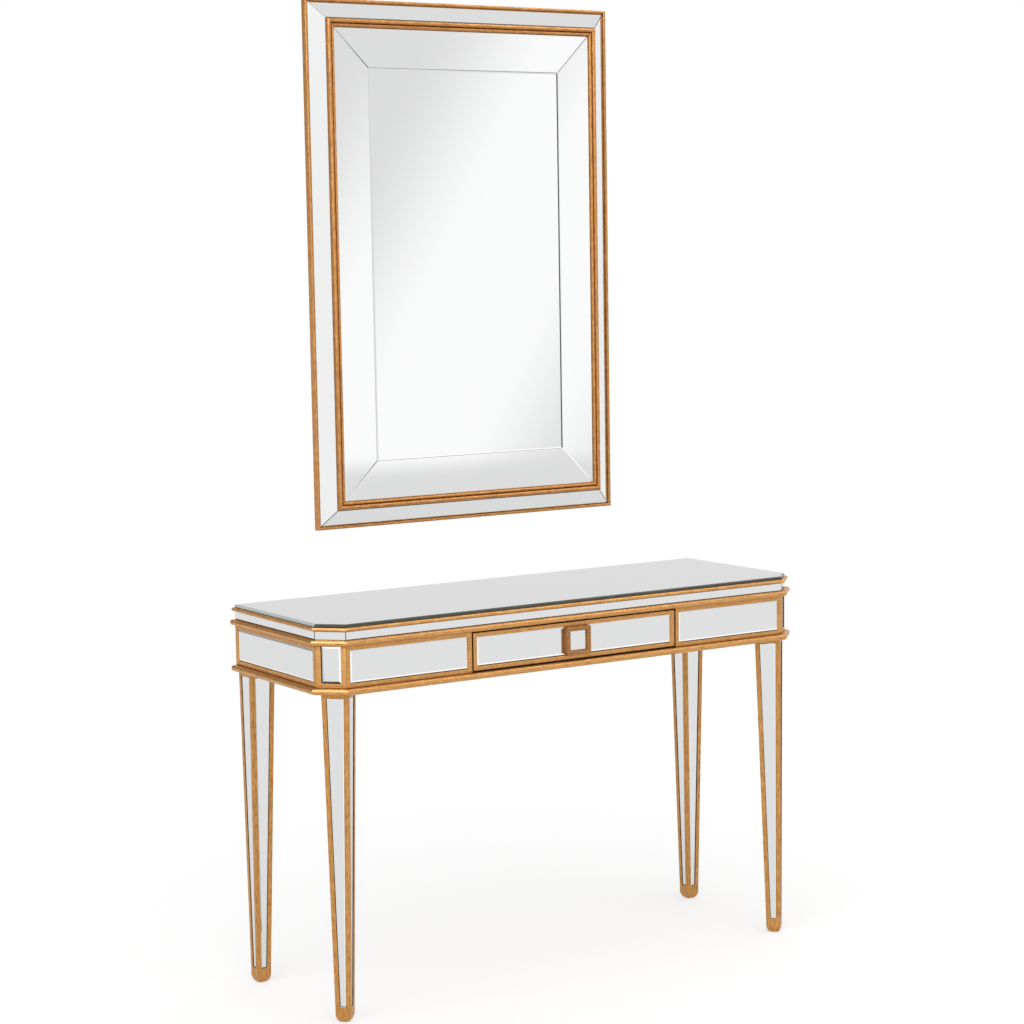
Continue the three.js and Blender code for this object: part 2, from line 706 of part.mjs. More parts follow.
// ---- Wall mirror: made flat, +Z towards the room, then stood against the wall ---------
{
  const halfW = mirrorWidth / 2;
  const halfH = mirrorHeight / 2;
  const at = (inset) => rectangle(halfW - inset, halfH - inset);
  const stripOuter = outerBeadWidth;
  const stripInner = stripOuter + outerStripWidth;
  const bandOuter = stripInner + innerMouldingWidth;
  const bandInner = bandOuter + innerStripWidth;
  const seat = mirrorFace - mirrorGlass - fitGap;
  const slopeFoot = seat - outerStripRise;

  // Core board: flat in the middle, sloping back to the wall around the edge.
  const ring = (inset, z) => at(inset).map(([x, y]) => [x, y, z]);
  const core = loft([
    ring(stripOuter + fitGap, 0),
    ring(stripOuter + fitGap, slopeFoot),
    ring(stripInner, seat),
  ]);
  const hangerY = halfH - hangerFromTop;
  const pockets = [-1, 1].map((side) => {
    const plan = rectangle(hangerWidth / 2 + fitGap, hangerHeight / 2 + fitGap);
    return slab(plan, -1, hangerPocket).translate(side * hangerFromCentre, hangerY, 0);
  });
  add(wallMirror, "mirror_core", cut(core, ...pockets), blackBoard);

  // Keyhole plates that hook over two screws in the wall.
  [-1, 1].forEach((side) => {
    const plate = slab(rectangle(hangerWidth / 2, hangerHeight / 2), fitGap, hangerThickness);
    const entry = rod(keyholeRadius, hangerThickness + 2).translate(0, -keySlotLength / 3, -1);
    const slotPlan = rectangle(keySlotRadius, keySlotLength / 2);
    const slot = slab(slotPlan, -1, hangerThickness + 1).translate(0, keySlotLength / 6, 0);
    const hanger = add(
      wallMirror,
      `hanger_${side < 0 ? "left" : "right"}`,
      cut(plate, entry, slot),
      zinc,
    );
    hanger.position.set(side * hangerFromCentre, hangerY, 0);
  });

  // Outer moulding: a plain side with a bead on its front edge.
  const beadArc = [];
  for (let i = 0; i <= beadSteps; i++) {
    const angle = (Math.PI * i) / beadSteps;
    const out = -outerBeadWidth / 2 + (outerBeadWidth / 2) * Math.cos(angle);
    beadArc.push([out, outerBeadBase + outerBeadRise * Math.sin(angle)]);
  }
  const outerProfile = [[0, 0], ...beadArc, [-outerBeadWidth, 0]];
  add(wallMirror, "outer_moulding", moulding(at(0), outerProfile, true), gilt);

  // Inner moulding: a large bead, a groove, and a smaller bead towards the glass.
  const doubleBead = [];
  const split = 0.6;
  const base = seat + fitGap;
  const beads = [
    { from: 0, to: split, rise: innerMouldingRise },
    { from: split, to: 1, rise: innerMouldingRise * 0.7 },
  ];
  const foot = mirrorGlass;
  const clear = innerMouldingWidth - 2 * fitGap;
  for (const bead of beads) {
    for (let i = 0; i <= beadSteps; i++) {
      const share = THREE.MathUtils.lerp(bead.from, bead.to, (1 - Math.cos((Math.PI * i) / beadSteps)) / 2);
      const lift = bead.rise * Math.sin((Math.PI * i) / beadSteps);
      const repeatsGroove = bead.from > 0 && i === 0;
      if (!repeatsGroove) doubleBead.push([-fitGap - clear * share, base + foot + lift]);
    }
  }
  const innerProfile = [[-fitGap, base], ...doubleBead, [-fitGap - clear, base]];
  add(wallMirror, "inner_moulding", moulding(at(stripInner), innerProfile, true), gilt);

  // Two rings of mitred mirror strips and the plate in the middle.
  const stripNames = ["bottom", "right", "top", "left"];
  const band = (from, to, side) => {
    const outer = at(from);
    const inner = at(to);
    const next = (side + 1) % 4;
    return offsetPath([outer[side], outer[next], inner[next], inner[side]], -fitGap / 2);
  };
  const slope = outerStripRise / (outerStripWidth - fitGap);
  stripNames.forEach((name, side) => {
    const inward = (x, y) =>
      [y + halfH, halfW - x, halfH - y, x + halfW][side] - outerBeadWidth;
    const rise = (x, y) => slopeFoot + fitGap + slope * inward(x, y);
    const outerPlan = band(stripOuter, stripInner, side);
    const outerStrip = pane(outerPlan, mirrorGlass, mirrorBevel / 2, mirrorBevelDrop / 2, rise);
    add(wallMirror, `outer_strip_${name}`, outerStrip, mirrorGlassFinish);
    const innerPlan = band(bandOuter, bandInner, side);
    const innerStrip = pane(innerPlan, mirrorGlass, mirrorBevel, mirrorBevelDrop);
    const mesh = add(wallMirror, `inner_strip_${name}`, innerStrip, mirrorGlassFinish);
    mesh.position.z = seat + fitGap;
  });
  const plan = offsetPath(at(bandInner), -fitGap / 2);
  const centre = pane(plan, mirrorGlass, mirrorBevel, mirrorBevelDrop);
  const centrePlate = add(wallMirror, "centre_mirror", centre, mirrorGlassFinish);
  centrePlate.position.z = seat + fitGap;

  wallMirror.rotation.x = Math.PI / 2;
  wallMirror.position.set(0, wallGap, tableHeight + mirrorAboveTable + halfH);
}

// The origin is on the floor, in the middle of the space that the whole object takes.
vanity.position.y = (tableDepth + Math.max(waistBeadOut, lowerBeadOut) - wallGap) / 2;

const model = new THREE.Group();
model.add(vanity);
export default model;
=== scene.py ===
"""A gilt and mirrored vanity table with its wall mirror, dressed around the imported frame."""
import json
import math

import bmesh
import bpy
from mathutils import Matrix, Vector

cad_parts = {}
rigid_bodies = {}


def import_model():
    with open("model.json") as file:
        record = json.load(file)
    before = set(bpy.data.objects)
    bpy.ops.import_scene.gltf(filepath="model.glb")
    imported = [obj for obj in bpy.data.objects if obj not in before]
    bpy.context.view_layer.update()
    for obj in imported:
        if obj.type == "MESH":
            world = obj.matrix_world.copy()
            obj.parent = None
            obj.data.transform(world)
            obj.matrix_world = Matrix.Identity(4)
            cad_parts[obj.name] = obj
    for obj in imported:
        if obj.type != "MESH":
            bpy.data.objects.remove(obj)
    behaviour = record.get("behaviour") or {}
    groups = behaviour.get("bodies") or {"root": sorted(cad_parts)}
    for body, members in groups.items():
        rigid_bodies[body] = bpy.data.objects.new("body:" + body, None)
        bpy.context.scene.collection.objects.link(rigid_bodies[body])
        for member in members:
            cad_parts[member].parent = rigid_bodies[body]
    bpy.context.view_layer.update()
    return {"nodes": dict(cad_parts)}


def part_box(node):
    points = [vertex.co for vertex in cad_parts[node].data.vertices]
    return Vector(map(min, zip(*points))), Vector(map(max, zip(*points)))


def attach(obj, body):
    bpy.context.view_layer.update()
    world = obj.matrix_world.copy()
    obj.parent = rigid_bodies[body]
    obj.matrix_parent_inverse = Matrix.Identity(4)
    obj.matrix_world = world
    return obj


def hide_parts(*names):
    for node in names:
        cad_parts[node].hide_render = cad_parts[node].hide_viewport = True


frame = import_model()
MM = 0.001


# ---- Studio ----------------------------------------------------------
# A white room with a backlit opal floor and three soft boxes. It is lighter overhead on the
# left and dim behind the left end; the wall mirror shows a slanting bright screen in front.
def linear(code):
    """An sRGB hex colour as linear red, green, blue and an alpha of one."""
    parts = [int(code[i:i + 2], 16) / 255 for i in (1, 3, 5)]
    return [c / 12.92 if c <= 0.04045 else ((c + 0.055) / 1.055) ** 2.4 for c in parts] + [1]


def node(tree, kind, settings=None, links=None):
    """Adds a node, sets its properties and inputs, and links inputs from sockets or from nodes.

    A node stands for its first output."""
    new = tree.nodes.new(kind)
    for key, value in (settings or {}).items():
        if isinstance(key, int) or key in new.inputs:
            new.inputs[key].default_value = value
        else:
            setattr(new, key, value)
    for key, source in (links or {}).items():
        tree.links.new(getattr(source, "outputs", [source])[0], new.inputs[key])
    return new


def material(name):
    """An empty node material and its tree."""
    made = bpy.data.materials.new(name)
    made.use_nodes = True
    made.node_tree.nodes.clear()
    return made, made.node_tree


def added(name, data):
    """A new object, linked to the scene."""
    new = bpy.data.objects.new(name, data)
    bpy.context.scene.collection.objects.link(new)
    return new


def mottled(tree, dark, light, scale, detail=2):
    """A tone that drifts between two colours in cloudy patches, and the drift by itself."""
    place = node(tree, "ShaderNodeTexCoord")
    drift = node(tree, "ShaderNodeTexNoise", {"Scale": scale, "Detail": detail},
                 {"Vector": place.outputs["Object"]})
    tone = node(tree, "ShaderNodeMix",
                {"data_type": "RGBA", 6: linear(dark), 7: linear(light)}, {0: drift})
    return tone.outputs[2], drift


camera_place = Vector((-2.7087, -4.1284, 1.4758))
camera_azimuth, camera_pitch, camera_roll = (math.radians(a) for a in (-31.56, -6.90, -1.12))
flat = math.cos(camera_pitch)
ahead = Vector((-math.sin(camera_azimuth) * flat, math.cos(camera_azimuth) * flat,
                math.sin(camera_pitch)))
right = Vector((math.cos(camera_azimuth), math.sin(camera_azimuth), 0))
up = right.cross(ahead)
turned_right = math.cos(camera_roll) * right + math.sin(camera_roll) * up
turned_up = -math.sin(camera_roll) * right + math.cos(camera_roll) * up
camera_turn = Matrix((turned_right, turned_up, -ahead)).transposed().to_4x4()
camera_data = bpy.data.cameras.new("Camera")
camera_data.lens = 83.67
camera_data.shift_x = 0.0602
camera_data.shift_y = 0.0338
camera_data.clip_end = 100
camera = added("Camera", camera_data)
camera.matrix_world = Matrix.Translation(camera_place) @ camera_turn
bpy.context.scene.camera = camera
bpy.context.scene.view_settings.view_transform = "Standard"

world = bpy.data.worlds.new("White room")
world.use_nodes = True
sky = world.node_tree
sky.nodes.clear()
heading = node(sky, "ShaderNodeTexCoord").outputs["Generated"]
in_front = (0.523, -0.852, 0)
across = (0.852, 0.523, 0)
# Each light is the product of its shapes. A shape is a direction, an offset, whether it counts
# on both sides, and the two reaches along that direction between which it rises to its level.
room_lights = {
    "Glow overhead on the left": [((-0.45, -0.5, 0.74), 0, False, 0.68, 1, 1.1)],
    "Slanting screen in front": [((21.3, 13.1, -13.0), 0.6, True, 2, 0.5, 0.34),
                                 (in_front, 0, False, 0.966, 0.978, 1),
                                 ((-0.0426, -0.026, 1), -0.0829, False, -0.008, 0.002, 1)],
    "Pale walls at the sides": [(across, 0, True, 0.62, 0.74, 0.2), (across, 0, True, 0.95, 0.87, 1),
                                (in_front, 0, False, 0.2, 0.4, 1)],
    "Dim corner behind the left end": [((-0.62, 0.75, 0.25), 0, False, 0.6, 0.85, -0.8),
                                       ((0, 0, 1), 0, False, 0, 0.15, 1)]}
level = None
for shapes in room_lights.values():
    light = None
    for direction, offset, both_sides, start, end, top in shapes:
        dot = node(sky, "ShaderNodeVectorMath", {"operation": "DOT_PRODUCT", 1: direction}, {0: heading})
        reach = node(sky, "ShaderNodeMath", {"operation": "SUBTRACT", 1: offset},
                     {0: dot.outputs["Value"]})
        if both_sides:
            reach = node(sky, "ShaderNodeMath", {"operation": "ABSOLUTE"}, {0: reach})
        shape = node(sky, "ShaderNodeMapRange",
                     {"interpolation_type": "SMOOTHSTEP", "From Min": start, "From Max": end,
                      "To Max": top}, {"Value": reach})
        factors = {0: shape, **({1: light} if light else {})}
        light = node(sky, "ShaderNodeMath", {"operation": "MULTIPLY", 1: 1}, factors)
    terms = {0: light, **({1: level} if level else {})}
    level = node(sky, "ShaderNodeMath", {"operation": "ADD", 1: 1}, terms)
seen = node(sky, "ShaderNodeLightPath").outputs["Is Camera Ray"]
strength = node(sky, "ShaderNodeMath", {"operation": "MAXIMUM"}, {0: level, 1: seen})
backing = node(sky, "ShaderNodeBackground", {"Color": linear("#ffffff")}, {"Strength": strength})
node(sky, "ShaderNodeOutputWorld", links={"Surface": backing})
bpy.context.scene.world = world

floor_mesh = bpy.data.meshes.new("floor")
floor_half = 5
floor_mesh.from_pydata([(-floor_half, -floor_half, 0), (floor_half, -floor_half, 0),
                        (floor_half, floor_half, 0), (-floor_half, floor_half, 0)], [], [(0, 1, 2, 3)])
floor = added("floor", floor_mesh)
opal, tree = material("Backlit opal acrylic floor")
sheet = node(tree, "ShaderNodeBsdfPrincipled",
             {"Roughness": 0.9, "Specular IOR Level": 0, "Emission Color": linear("#ffffff"),
              "Emission Strength": 0.6}, {"Base Color": mottled(tree, "#a6a6a6", "#a8a8a8", 0.8)[0]})
node(tree, "ShaderNodeOutputMaterial", links={"Surface": sheet})
floor_mesh.materials.append(opal)

shaded_from_boxes = bpy.data.collections.new("Not lit by the soft boxes")
shaded_from_boxes.objects.link(floor)
shaded_from_boxes.collection_objects[0].light_linking.link_state = "EXCLUDE"


def soft_box(name, place, target, size, power):
    """A square area light that faces the target and leaves the shielded objects out."""
    data = bpy.data.lights.new(name, "AREA")
    data.size = size
    data.energy = power
    lamp = added(name, data)
    lamp.location = place
    lamp.rotation_euler = (Vector(target) - Vector(place)).to_track_quat("-Z", "Y").to_euler()
    lamp.light_linking.receiver_collection = shaded_from_boxes
    lamp.visible_camera = False


soft_box("Left soft box", (-2.6, -1.1, 3.4), (-0.5, -0.1, 0.8), 2.4, 70)
soft_box("Overhead soft box", (2.0, -0.4, 4.0), (0, -0.1, 0.8), 1.4, 22)
soft_box("Front panel", (1.9, -2.1, 3.0), (0, 0, 0.8), 1.4, 3)


# ---- Gilt beads round the table --------------------------------------
# Three half-round mouldings of carved wood run round the front and both ends, mitred at
# the cut corners and stopped flush at the back. They are glued on and leafed in an
# antique champagne gold that is rubbed back along its length.
glass_low, glass_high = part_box("glass_top")
half_length = glass_high.x
front_y, back_y = glass_low.y, glass_high.y
end_points = [v.co.y for v in frame["nodes"]["glass_top"].data.vertices if v.co.x > half_length - 1e-5]
corner_cut = min(end_points) - front_y
HALF_TURN = math.tan(math.radians(22.5))


def gilding(name, worn, leaf, bright):
    """Metal leaf over brown bole: soft metal, brushed along the length, mottled where rubbed."""
    made, tree = material(name)
    grain = node(tree, "ShaderNodeAttribute", {"attribute_name": "grain"})
    # Rubbing marks about 18 mm long and 1.5 mm wide, coarse enough to see.
    along = node(tree, "ShaderNodeMapping", {"Scale": (1 / 0.018, 1 / 0.0015, 1 / 0.0015)},
                 {"Vector": grain.outputs["Vector"]})
    marks = node(tree, "ShaderNodeTexNoise", {"Scale": 1, "Detail": 3, "Roughness": 0.5},
                 {"Vector": along})
    # Blotches of bole about 9 mm across.
    mottle = node(tree, "ShaderNodeTexNoise", {"Scale": 110, "Detail": 3, "Roughness": 0.65},
                  {"Vector": grain.outputs["Vector"]})
    weighed = node(tree, "ShaderNodeMath", {"operation": "MULTIPLY", 1: 0.3}, {0: mottle})
    mixed = node(tree, "ShaderNodeMath", {"operation": "MULTIPLY_ADD", 1: 0.7}, {0: marks, 2: weighed})
    tone = node(tree, "ShaderNodeValToRGB", links={"Fac": mixed})
    ramp = tone.color_ramp.elements
    ramp[0].position, ramp[0].color = 0.3, linear(worn)
    ramp[1].position, ramp[1].color = 0.72, linear(bright)
    ramp.new(0.5).color = linear(leaf)
    gloss = node(tree, "ShaderNodeMapRange", {"To Min": 0.46, "To Max": 0.32}, {"Value": mixed})
    relief = node(tree, "ShaderNodeBump", {"Strength": 0.2, "Distance": 0.0003}, {"Height": mixed})
    shader = node(tree, "ShaderNodeBsdfPrincipled", {"Metallic": 0.8},
                  {"Base Color": tone, "Roughness": gloss,
                   "Normal": relief})
    node(tree, "ShaderNodeOutputMaterial", links={"Surface": shader})
    return made


champagne_gilding = gilding("Champagne gold leaf over brown bole", "#a3713d", "#c28e54", "#d9a969")


def bole(name, dark, light):
    """Dark brown bole, as left bare in joints and on backs, made near black so it paints the shade in the
    gaps and recesses: matt, slightly stippled.
    """
    made, tree = material(name)
    shader = node(tree, "ShaderNodeBsdfPrincipled", {"Roughness": 0.8, "Specular IOR Level": 0.2},
                  {"Base Color": mottled(tree, dark, light, 700)[0]})
    node(tree, "ShaderNodeOutputMaterial", links={"Surface": shader})
    return made


shade_painted_bole = bole("Bare brown bole in the joints", "#2c1c0f", "#452d19")


def face_line(inset):
    """The table's plan as five straight faces, from the back of the right end to the left's."""
    slant = inset * HALF_TURN
    end = half_length - inset
    cut_x = half_length - corner_cut - slant
    cut_y = front_y + corner_cut + slant
    front = front_y + inset
    return [Vector(p) for p in ((end, back_y), (end, cut_y), (cut_x, front),
                                (-cut_x, front), (-end, cut_y), (-end, back_y))]


def start_tree(name, sizes):
    """A node tree for a mesh, with named inputs for its sizes and its finish."""
    tree = bpy.data.node_groups.new(name, "GeometryNodeTree")
    tree.interface.new_socket("Geometry", in_out="INPUT", socket_type="NodeSocketGeometry")
    for label in sizes:
        tree.interface.new_socket(label, in_out="INPUT", socket_type="NodeSocketFloat")
    tree.interface.new_socket("Finish", in_out="INPUT", socket_type="NodeSocketMaterial")
    tree.interface.new_socket("Geometry", in_out="OUTPUT", socket_type="NodeSocketGeometry")
    return tree, node(tree, "NodeGroupInput").outputs


def end_tree(tree, shape, given):
    """Makes the shape real and gives it the finish."""
    real = node(tree, "GeometryNodeRealizeInstances", links={"Geometry": shape})
    done = node(tree, "GeometryNodeSetMaterial", links={"Geometry": real, "Material": given["Finish"]})
    node(tree, "NodeGroupOutput", links={"Geometry": done})
    return tree


def moulding_tree():
    """Extrudes a profile face (out, rise) along a length and slides its ends to the mitres."""
    tree, given = start_tree("Mitred length of moulding", ("Length", "Start mitre", "End mitre"))
    run = node(tree, "ShaderNodeCombineXYZ", {"Z": 1})
    drawn = node(tree, "GeometryNodeExtrudeMesh", {"mode": "FACES", "Individual": False},
                 {"Mesh": given["Geometry"], "Offset": run, "Offset Scale": given["Length"]})
    foot = node(tree, "GeometryNodeFlipFaces", links={"Mesh": given["Geometry"]})
    both = node(tree, "GeometryNodeJoinGeometry", links={"Geometry": drawn})
    tree.links.new(foot.outputs["Mesh"], both.inputs["Geometry"])
    closed = node(tree, "GeometryNodeMergeByDistance", {"Distance": 1e-6}, {"Geometry": both})
    where = node(tree, "GeometryNodeInputPosition")
    part = node(tree, "ShaderNodeSeparateXYZ", links={"Vector": where}).outputs
    share = node(tree, "ShaderNodeMath", {"operation": "DIVIDE"}, {0: part["Z"], 1: given["Length"]})
    rest = node(tree, "ShaderNodeMath", {"operation": "SUBTRACT", 0: 1}, {1: share})
    late = node(tree, "ShaderNodeMath", {"operation": "MULTIPLY"}, {0: share, 1: given["End mitre"]})
    early = node(tree, "ShaderNodeMath", {"operation": "MULTIPLY"}, {0: rest, 1: given["Start mitre"]})
    skew = node(tree, "ShaderNodeMath", {"operation": "SUBTRACT"}, {0: late, 1: early})
    slide = node(tree, "ShaderNodeMath", {"operation": "MULTIPLY_ADD"},
                 {0: part["X"], 1: skew, 2: part["Z"]})
    laid = node(tree, "ShaderNodeCombineXYZ", links={"X": slide, "Y": part["X"], "Z": part["Y"]})
    placed = node(tree, "GeometryNodeSetPosition", links={"Geometry": closed, "Position": laid})
    marked = node(tree, "GeometryNodeStoreNamedAttribute",
                  {"data_type": "FLOAT_VECTOR", "domain": "POINT", "Name": "grain"},
                  {"Geometry": placed, "Value": where})
    return end_tree(tree, marked, given)


mitred_length = moulding_tree()


def settled(holder):
    """The plain mesh that an object's modifier makes. The object itself is removed."""
    bpy.context.view_layer.update()
    evaluated = holder.evaluated_get(bpy.context.evaluated_depsgraph_get())
    result = bpy.data.meshes.new_from_object(evaluated)
    bpy.data.objects.remove(holder)
    return result


def baked(maker, name, finishes):
    """The mesh that a maker holds, with its finishes. The maker is freed."""
    mesh = bpy.data.meshes.new(name)
    maker.to_mesh(mesh)
    maker.free()
    for finish in finishes:
        mesh.materials.append(finish)
    return mesh


def run_tree(tree, base, inputs):
    """The plain mesh that a node tree makes from a base mesh and its named inputs."""
    holder = added("holder", base)
    modifier = holder.modifiers.new("Tree", "NODES")
    modifier.node_group = tree
    for socket in tree.interface.items_tree:
        if socket.in_out == "INPUT" and socket.name in inputs:
            modifier[socket.identifier] = inputs[socket.name]
    return settled(holder)


def finished(name, mesh, body, nodes=(), smooth=35):
    """Puts a finished mesh in the scene, on its body, for its CAD nodes."""
    mesh.polygons.foreach_set("use_smooth", [True] * len(mesh.polygons))
    mesh.set_sharp_from_angle(angle=math.radians(smooth))
    piece = added(name, mesh)
    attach(piece, body)
    if nodes:
        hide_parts(*nodes)


def moulding(name, profile, path, mitres, height, finish, body, cad_node, hidden_behind=1):
    """Mitred lengths of one profile along a path, gilt except behind a depth inside it, where dark bole
    paints the shade in the gaps.
    """
    base = bpy.data.meshes.new("profile")
    base.from_pydata([(out, rise, 0) for out, rise in profile], [], [range(len(profile))])
    whole = bmesh.new()
    for i in range(len(mitres) - 1):
        start, end = path[i], path[(i + 1) % len(path)]
        run = end - start
        piece = run_tree(mitred_length, base, {"Length": run.length, "Start mitre": mitres[i],
                                               "End mitre": mitres[i + 1], "Finish": finish})
        # Faces deeper than that take the dark bole: painted shade in the gaps between parts.
        for face in piece.polygons:
            face.material_index = face.center.y < -hidden_behind
        x = run.normalized()
        y = height.cross(x)
        turn = Matrix((x, y, height)).transposed().to_4x4()
        piece.transform(Matrix.Translation(start) @ turn)
        whole.from_mesh(piece)
        bpy.data.meshes.remove(piece)
    finished(name, baked(whole, name, (finish, shade_painted_bole)), body, [cad_node])


def half_round(low, high, out, steps=20):
    """Points of a half ellipse that stands out between two levels, from the low one up."""
    middle, half = (low + high) / 2, (high - low) / 2
    turns = [math.pi * (i / steps - 0.5) for i in range(steps + 1)]
    return [(out * math.cos(t), middle + half * math.sin(t)) for t in turns]


def nose(low, high, out):
    """A bead with a full round front, flat above and below, from the low level up."""
    ledge = out - (high - low) / 2
    return [(0, low)] + [(ledge + x, y) for x, y in half_round(low, high, out - ledge)] + [(0, high)]


ring_depth = 18 * MM
table_mitres = [0, HALF_TURN, HALF_TURN, HALF_TURN, HALF_TURN, 0]
for bead, out, depth, under, over in (("top_bead", 7 * MM, 3 * MM, 0.4 * MM, 0.3 * MM),
                                      ("waist_bead", 11 * MM, ring_depth, 0.4 * MM, 0.7 * MM),
                                      ("lower_bead", 11 * MM, ring_depth, 0.2 * MM, 0.4 * MM)):
    low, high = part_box(bead)
    tall = high.z - low.z
    quirk = 1.2 * MM
    section = [(-quirk, under)] + nose(under, tall - over, out)
    section += [(-quirk, tall - over), (-quirk, tall), (-depth, tall), (-depth, 0), (-quirk, 0)]
    path = [Vector((p.x, p.y, low.z)) for p in face_line(0)]
    moulding("Gilt_" + bead, section, path, table_mitres, Vector((0, 0, 1)), champagne_gilding, "table",
             bead, 0.2 * MM)


# ---- Mirror plate on top ---------------------------------------------
# Silvered plate glass, 6 mm thick, cut to the table's plan with a wide shallow bevel all
# round. It lies loose on the top board.
def silvering(name, face, cast):
    """Silvered float glass: an even mirror with a faint drift in tone and polish."""
    made, tree = material(name)
    tone, drift = mottled(tree, face, cast, 2.2)
    polish = node(tree, "ShaderNodeMapRange", {"To Min": 0.015, "To Max": 0.035}, {"Value": drift})
    shader = node(tree, "ShaderNodeBsdfPrincipled", {"Metallic": 1, "Specular Tint": linear("#ededed")},
                  {"Base Color": tone, "Roughness": polish})
    node(tree, "ShaderNodeOutputMaterial", links={"Surface": shader})
    return made


def cut_glass(name, dark, light):
    """The sawn and polished edge of float glass, green where the light is piped through it."""
    made, tree = material(name)
    shader = node(tree, "ShaderNodeBsdfPrincipled", {"Metallic": 0.3, "Roughness": 0.2, "IOR": 1.52},
                  {"Base Color": mottled(tree, dark, light, 40, 3)[0]})
    node(tree, "ShaderNodeOutputMaterial", links={"Surface": shader})
    return made


# Copies of the silvering paint light: a white one paints a highlight on some bevels, a grey one paints
# shade on others.
plate_silver = silvering("Silvered plate glass", "#dddddd", "#dbdcdc")
highlight_painted_bevel = silvering("Bevel that catches the light", "#ffffff", "#fbf8f2")
shade_painted_bevel = silvering("Bevel in shade", "#b4bcba", "#a8b1af")
green_edge = cut_glass("Polished glass edge", "#33332b", "#504e43")
# A brighter copy paints light into the face of the wall mirror's bottom sloped strip.
painted_light_silver = silvering("Silvered low-iron glass", "#fcfcfc", "#fafbfb")
glass_finishes = [plate_silver, highlight_painted_bevel, shade_painted_bevel, green_edge, painted_light_silver]
FACE, PAINTED_HIGHLIGHT, PAINTED_SHADE, EDGE, PAINTED_LIGHT = range(5)


def inset_outline(points, inset):
    """A convex anticlockwise outline drawn in by an even margin."""
    count = len(points)
    drawn = []
    for i in range(count):
        before = (points[i] - points[i - 1]).normalized()
        after = (points[(i + 1) % count] - points[i]).normalized()
        n1, n2 = Vector((-before.y, before.x)), Vector((-after.y, after.x))
        drawn.append(points[i] + (n1 + n2) * (inset / (1 + n1.dot(n2))))
    return drawn


def pane(name, outline, thick, bevel, drop, tints, turn, body, nodes, rise=None, face=FACE):
    """A mirror pane: back, cut edge, ground bevel with a finish for each side, and face. The side
    finishes paint light: a painted highlight, painted shade, or the dark edge finish as a painted dark
    reflection.
    """
    rise = rise or (lambda p: 0)
    outer = [Vector(p) for p in outline]
    inner = inset_outline(outer, bevel)
    rings = [[Vector((p.x, p.y, z + rise(p))) for p in plan]
             for plan, z in ((outer, 0), (outer, thick - drop), (inner, thick))]
    maker = bmesh.new()
    made = [[maker.verts.new(turn @ p) for p in ring] for ring in rings]
    maker.faces.new(made[0][::-1]).material_index = EDGE
    maker.faces.new(made[2]).material_index = face
    count = len(outer)
    for i in range(count):
        k = (i + 1) % count
        tint = tints[i % len(tints)]
        # A side with painted shade has its cut edge painted grey too.
        for level, finish in ((0, PAINTED_SHADE if tint == PAINTED_SHADE else EDGE), (1, tint)):
            low, high = made[level], made[level + 1]
            maker.faces.new((low[i], low[k], high[k], high[i])).material_index = finish
    finished(name, baked(maker, name, glass_finishes), body, nodes, smooth=1)


plate_bevel, plate_drop = 4 * MM, 1.2 * MM
# Its end bevels and edges carry painted shade. The front bevels have the dark edge finish as a painted
# dark reflection.
pane("Mirror_plate_top", face_line(0)[::-1], glass_high.z - glass_low.z, plate_bevel, plate_drop,
     [PAINTED_SHADE, EDGE, EDGE, EDGE, PAINTED_SHADE, FACE], Matrix.Translation((0, 0, glass_low.z)),
     "table", ["glass_top"])


# ---- Frieze ----------------------------------------------------------
# Five plain strips of 3 mm mirror glued to the edge of the top board between the top
# bead and the waist bead, their ends cut to the mitre with a ground arris.
def upright(start, end, level):
    """A frame on an upright face: X along it, Y up and Z out of the face."""
    x = (end - start).normalized()
    x = Vector((x.x, x.y, 0))
    z = x.cross(Vector((0, 0, 1)))
    turn = Matrix((x, Vector((0, 0, 1)), z)).transposed().to_4x4()
    return Matrix.Translation((start.x, start.y, level)) @ turn


side_names = ["right_end", "right_corner", "front", "left_corner", "left_end"]
glass_joint = 0.35 * MM
frieze_glass = 3 * MM
arris = 0.6 * MM
for side, name in enumerate(side_names):
    low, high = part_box("frieze_" + name)
    outer, inner = face_line(0), face_line(frieze_glass)
    end, start = outer[side], outer[side + 1]
    length = (end - start).length
    tall = high.z - low.z
    far = length - glass_joint
    strip = [(glass_joint, 0), (far, 0), (far, tall), (glass_joint, tall)]
    shift = Matrix.Translation((0, 0, -frieze_glass))
    # The top arris of each strip carries painted shade.
    pane("Frieze_glass_" + name, strip, frieze_glass, arris, 0.3 * MM, [FACE, EDGE, PAINTED_SHADE, EDGE],
         upright(start, end, low.z) @ shift, "table", ["frieze_" + name])


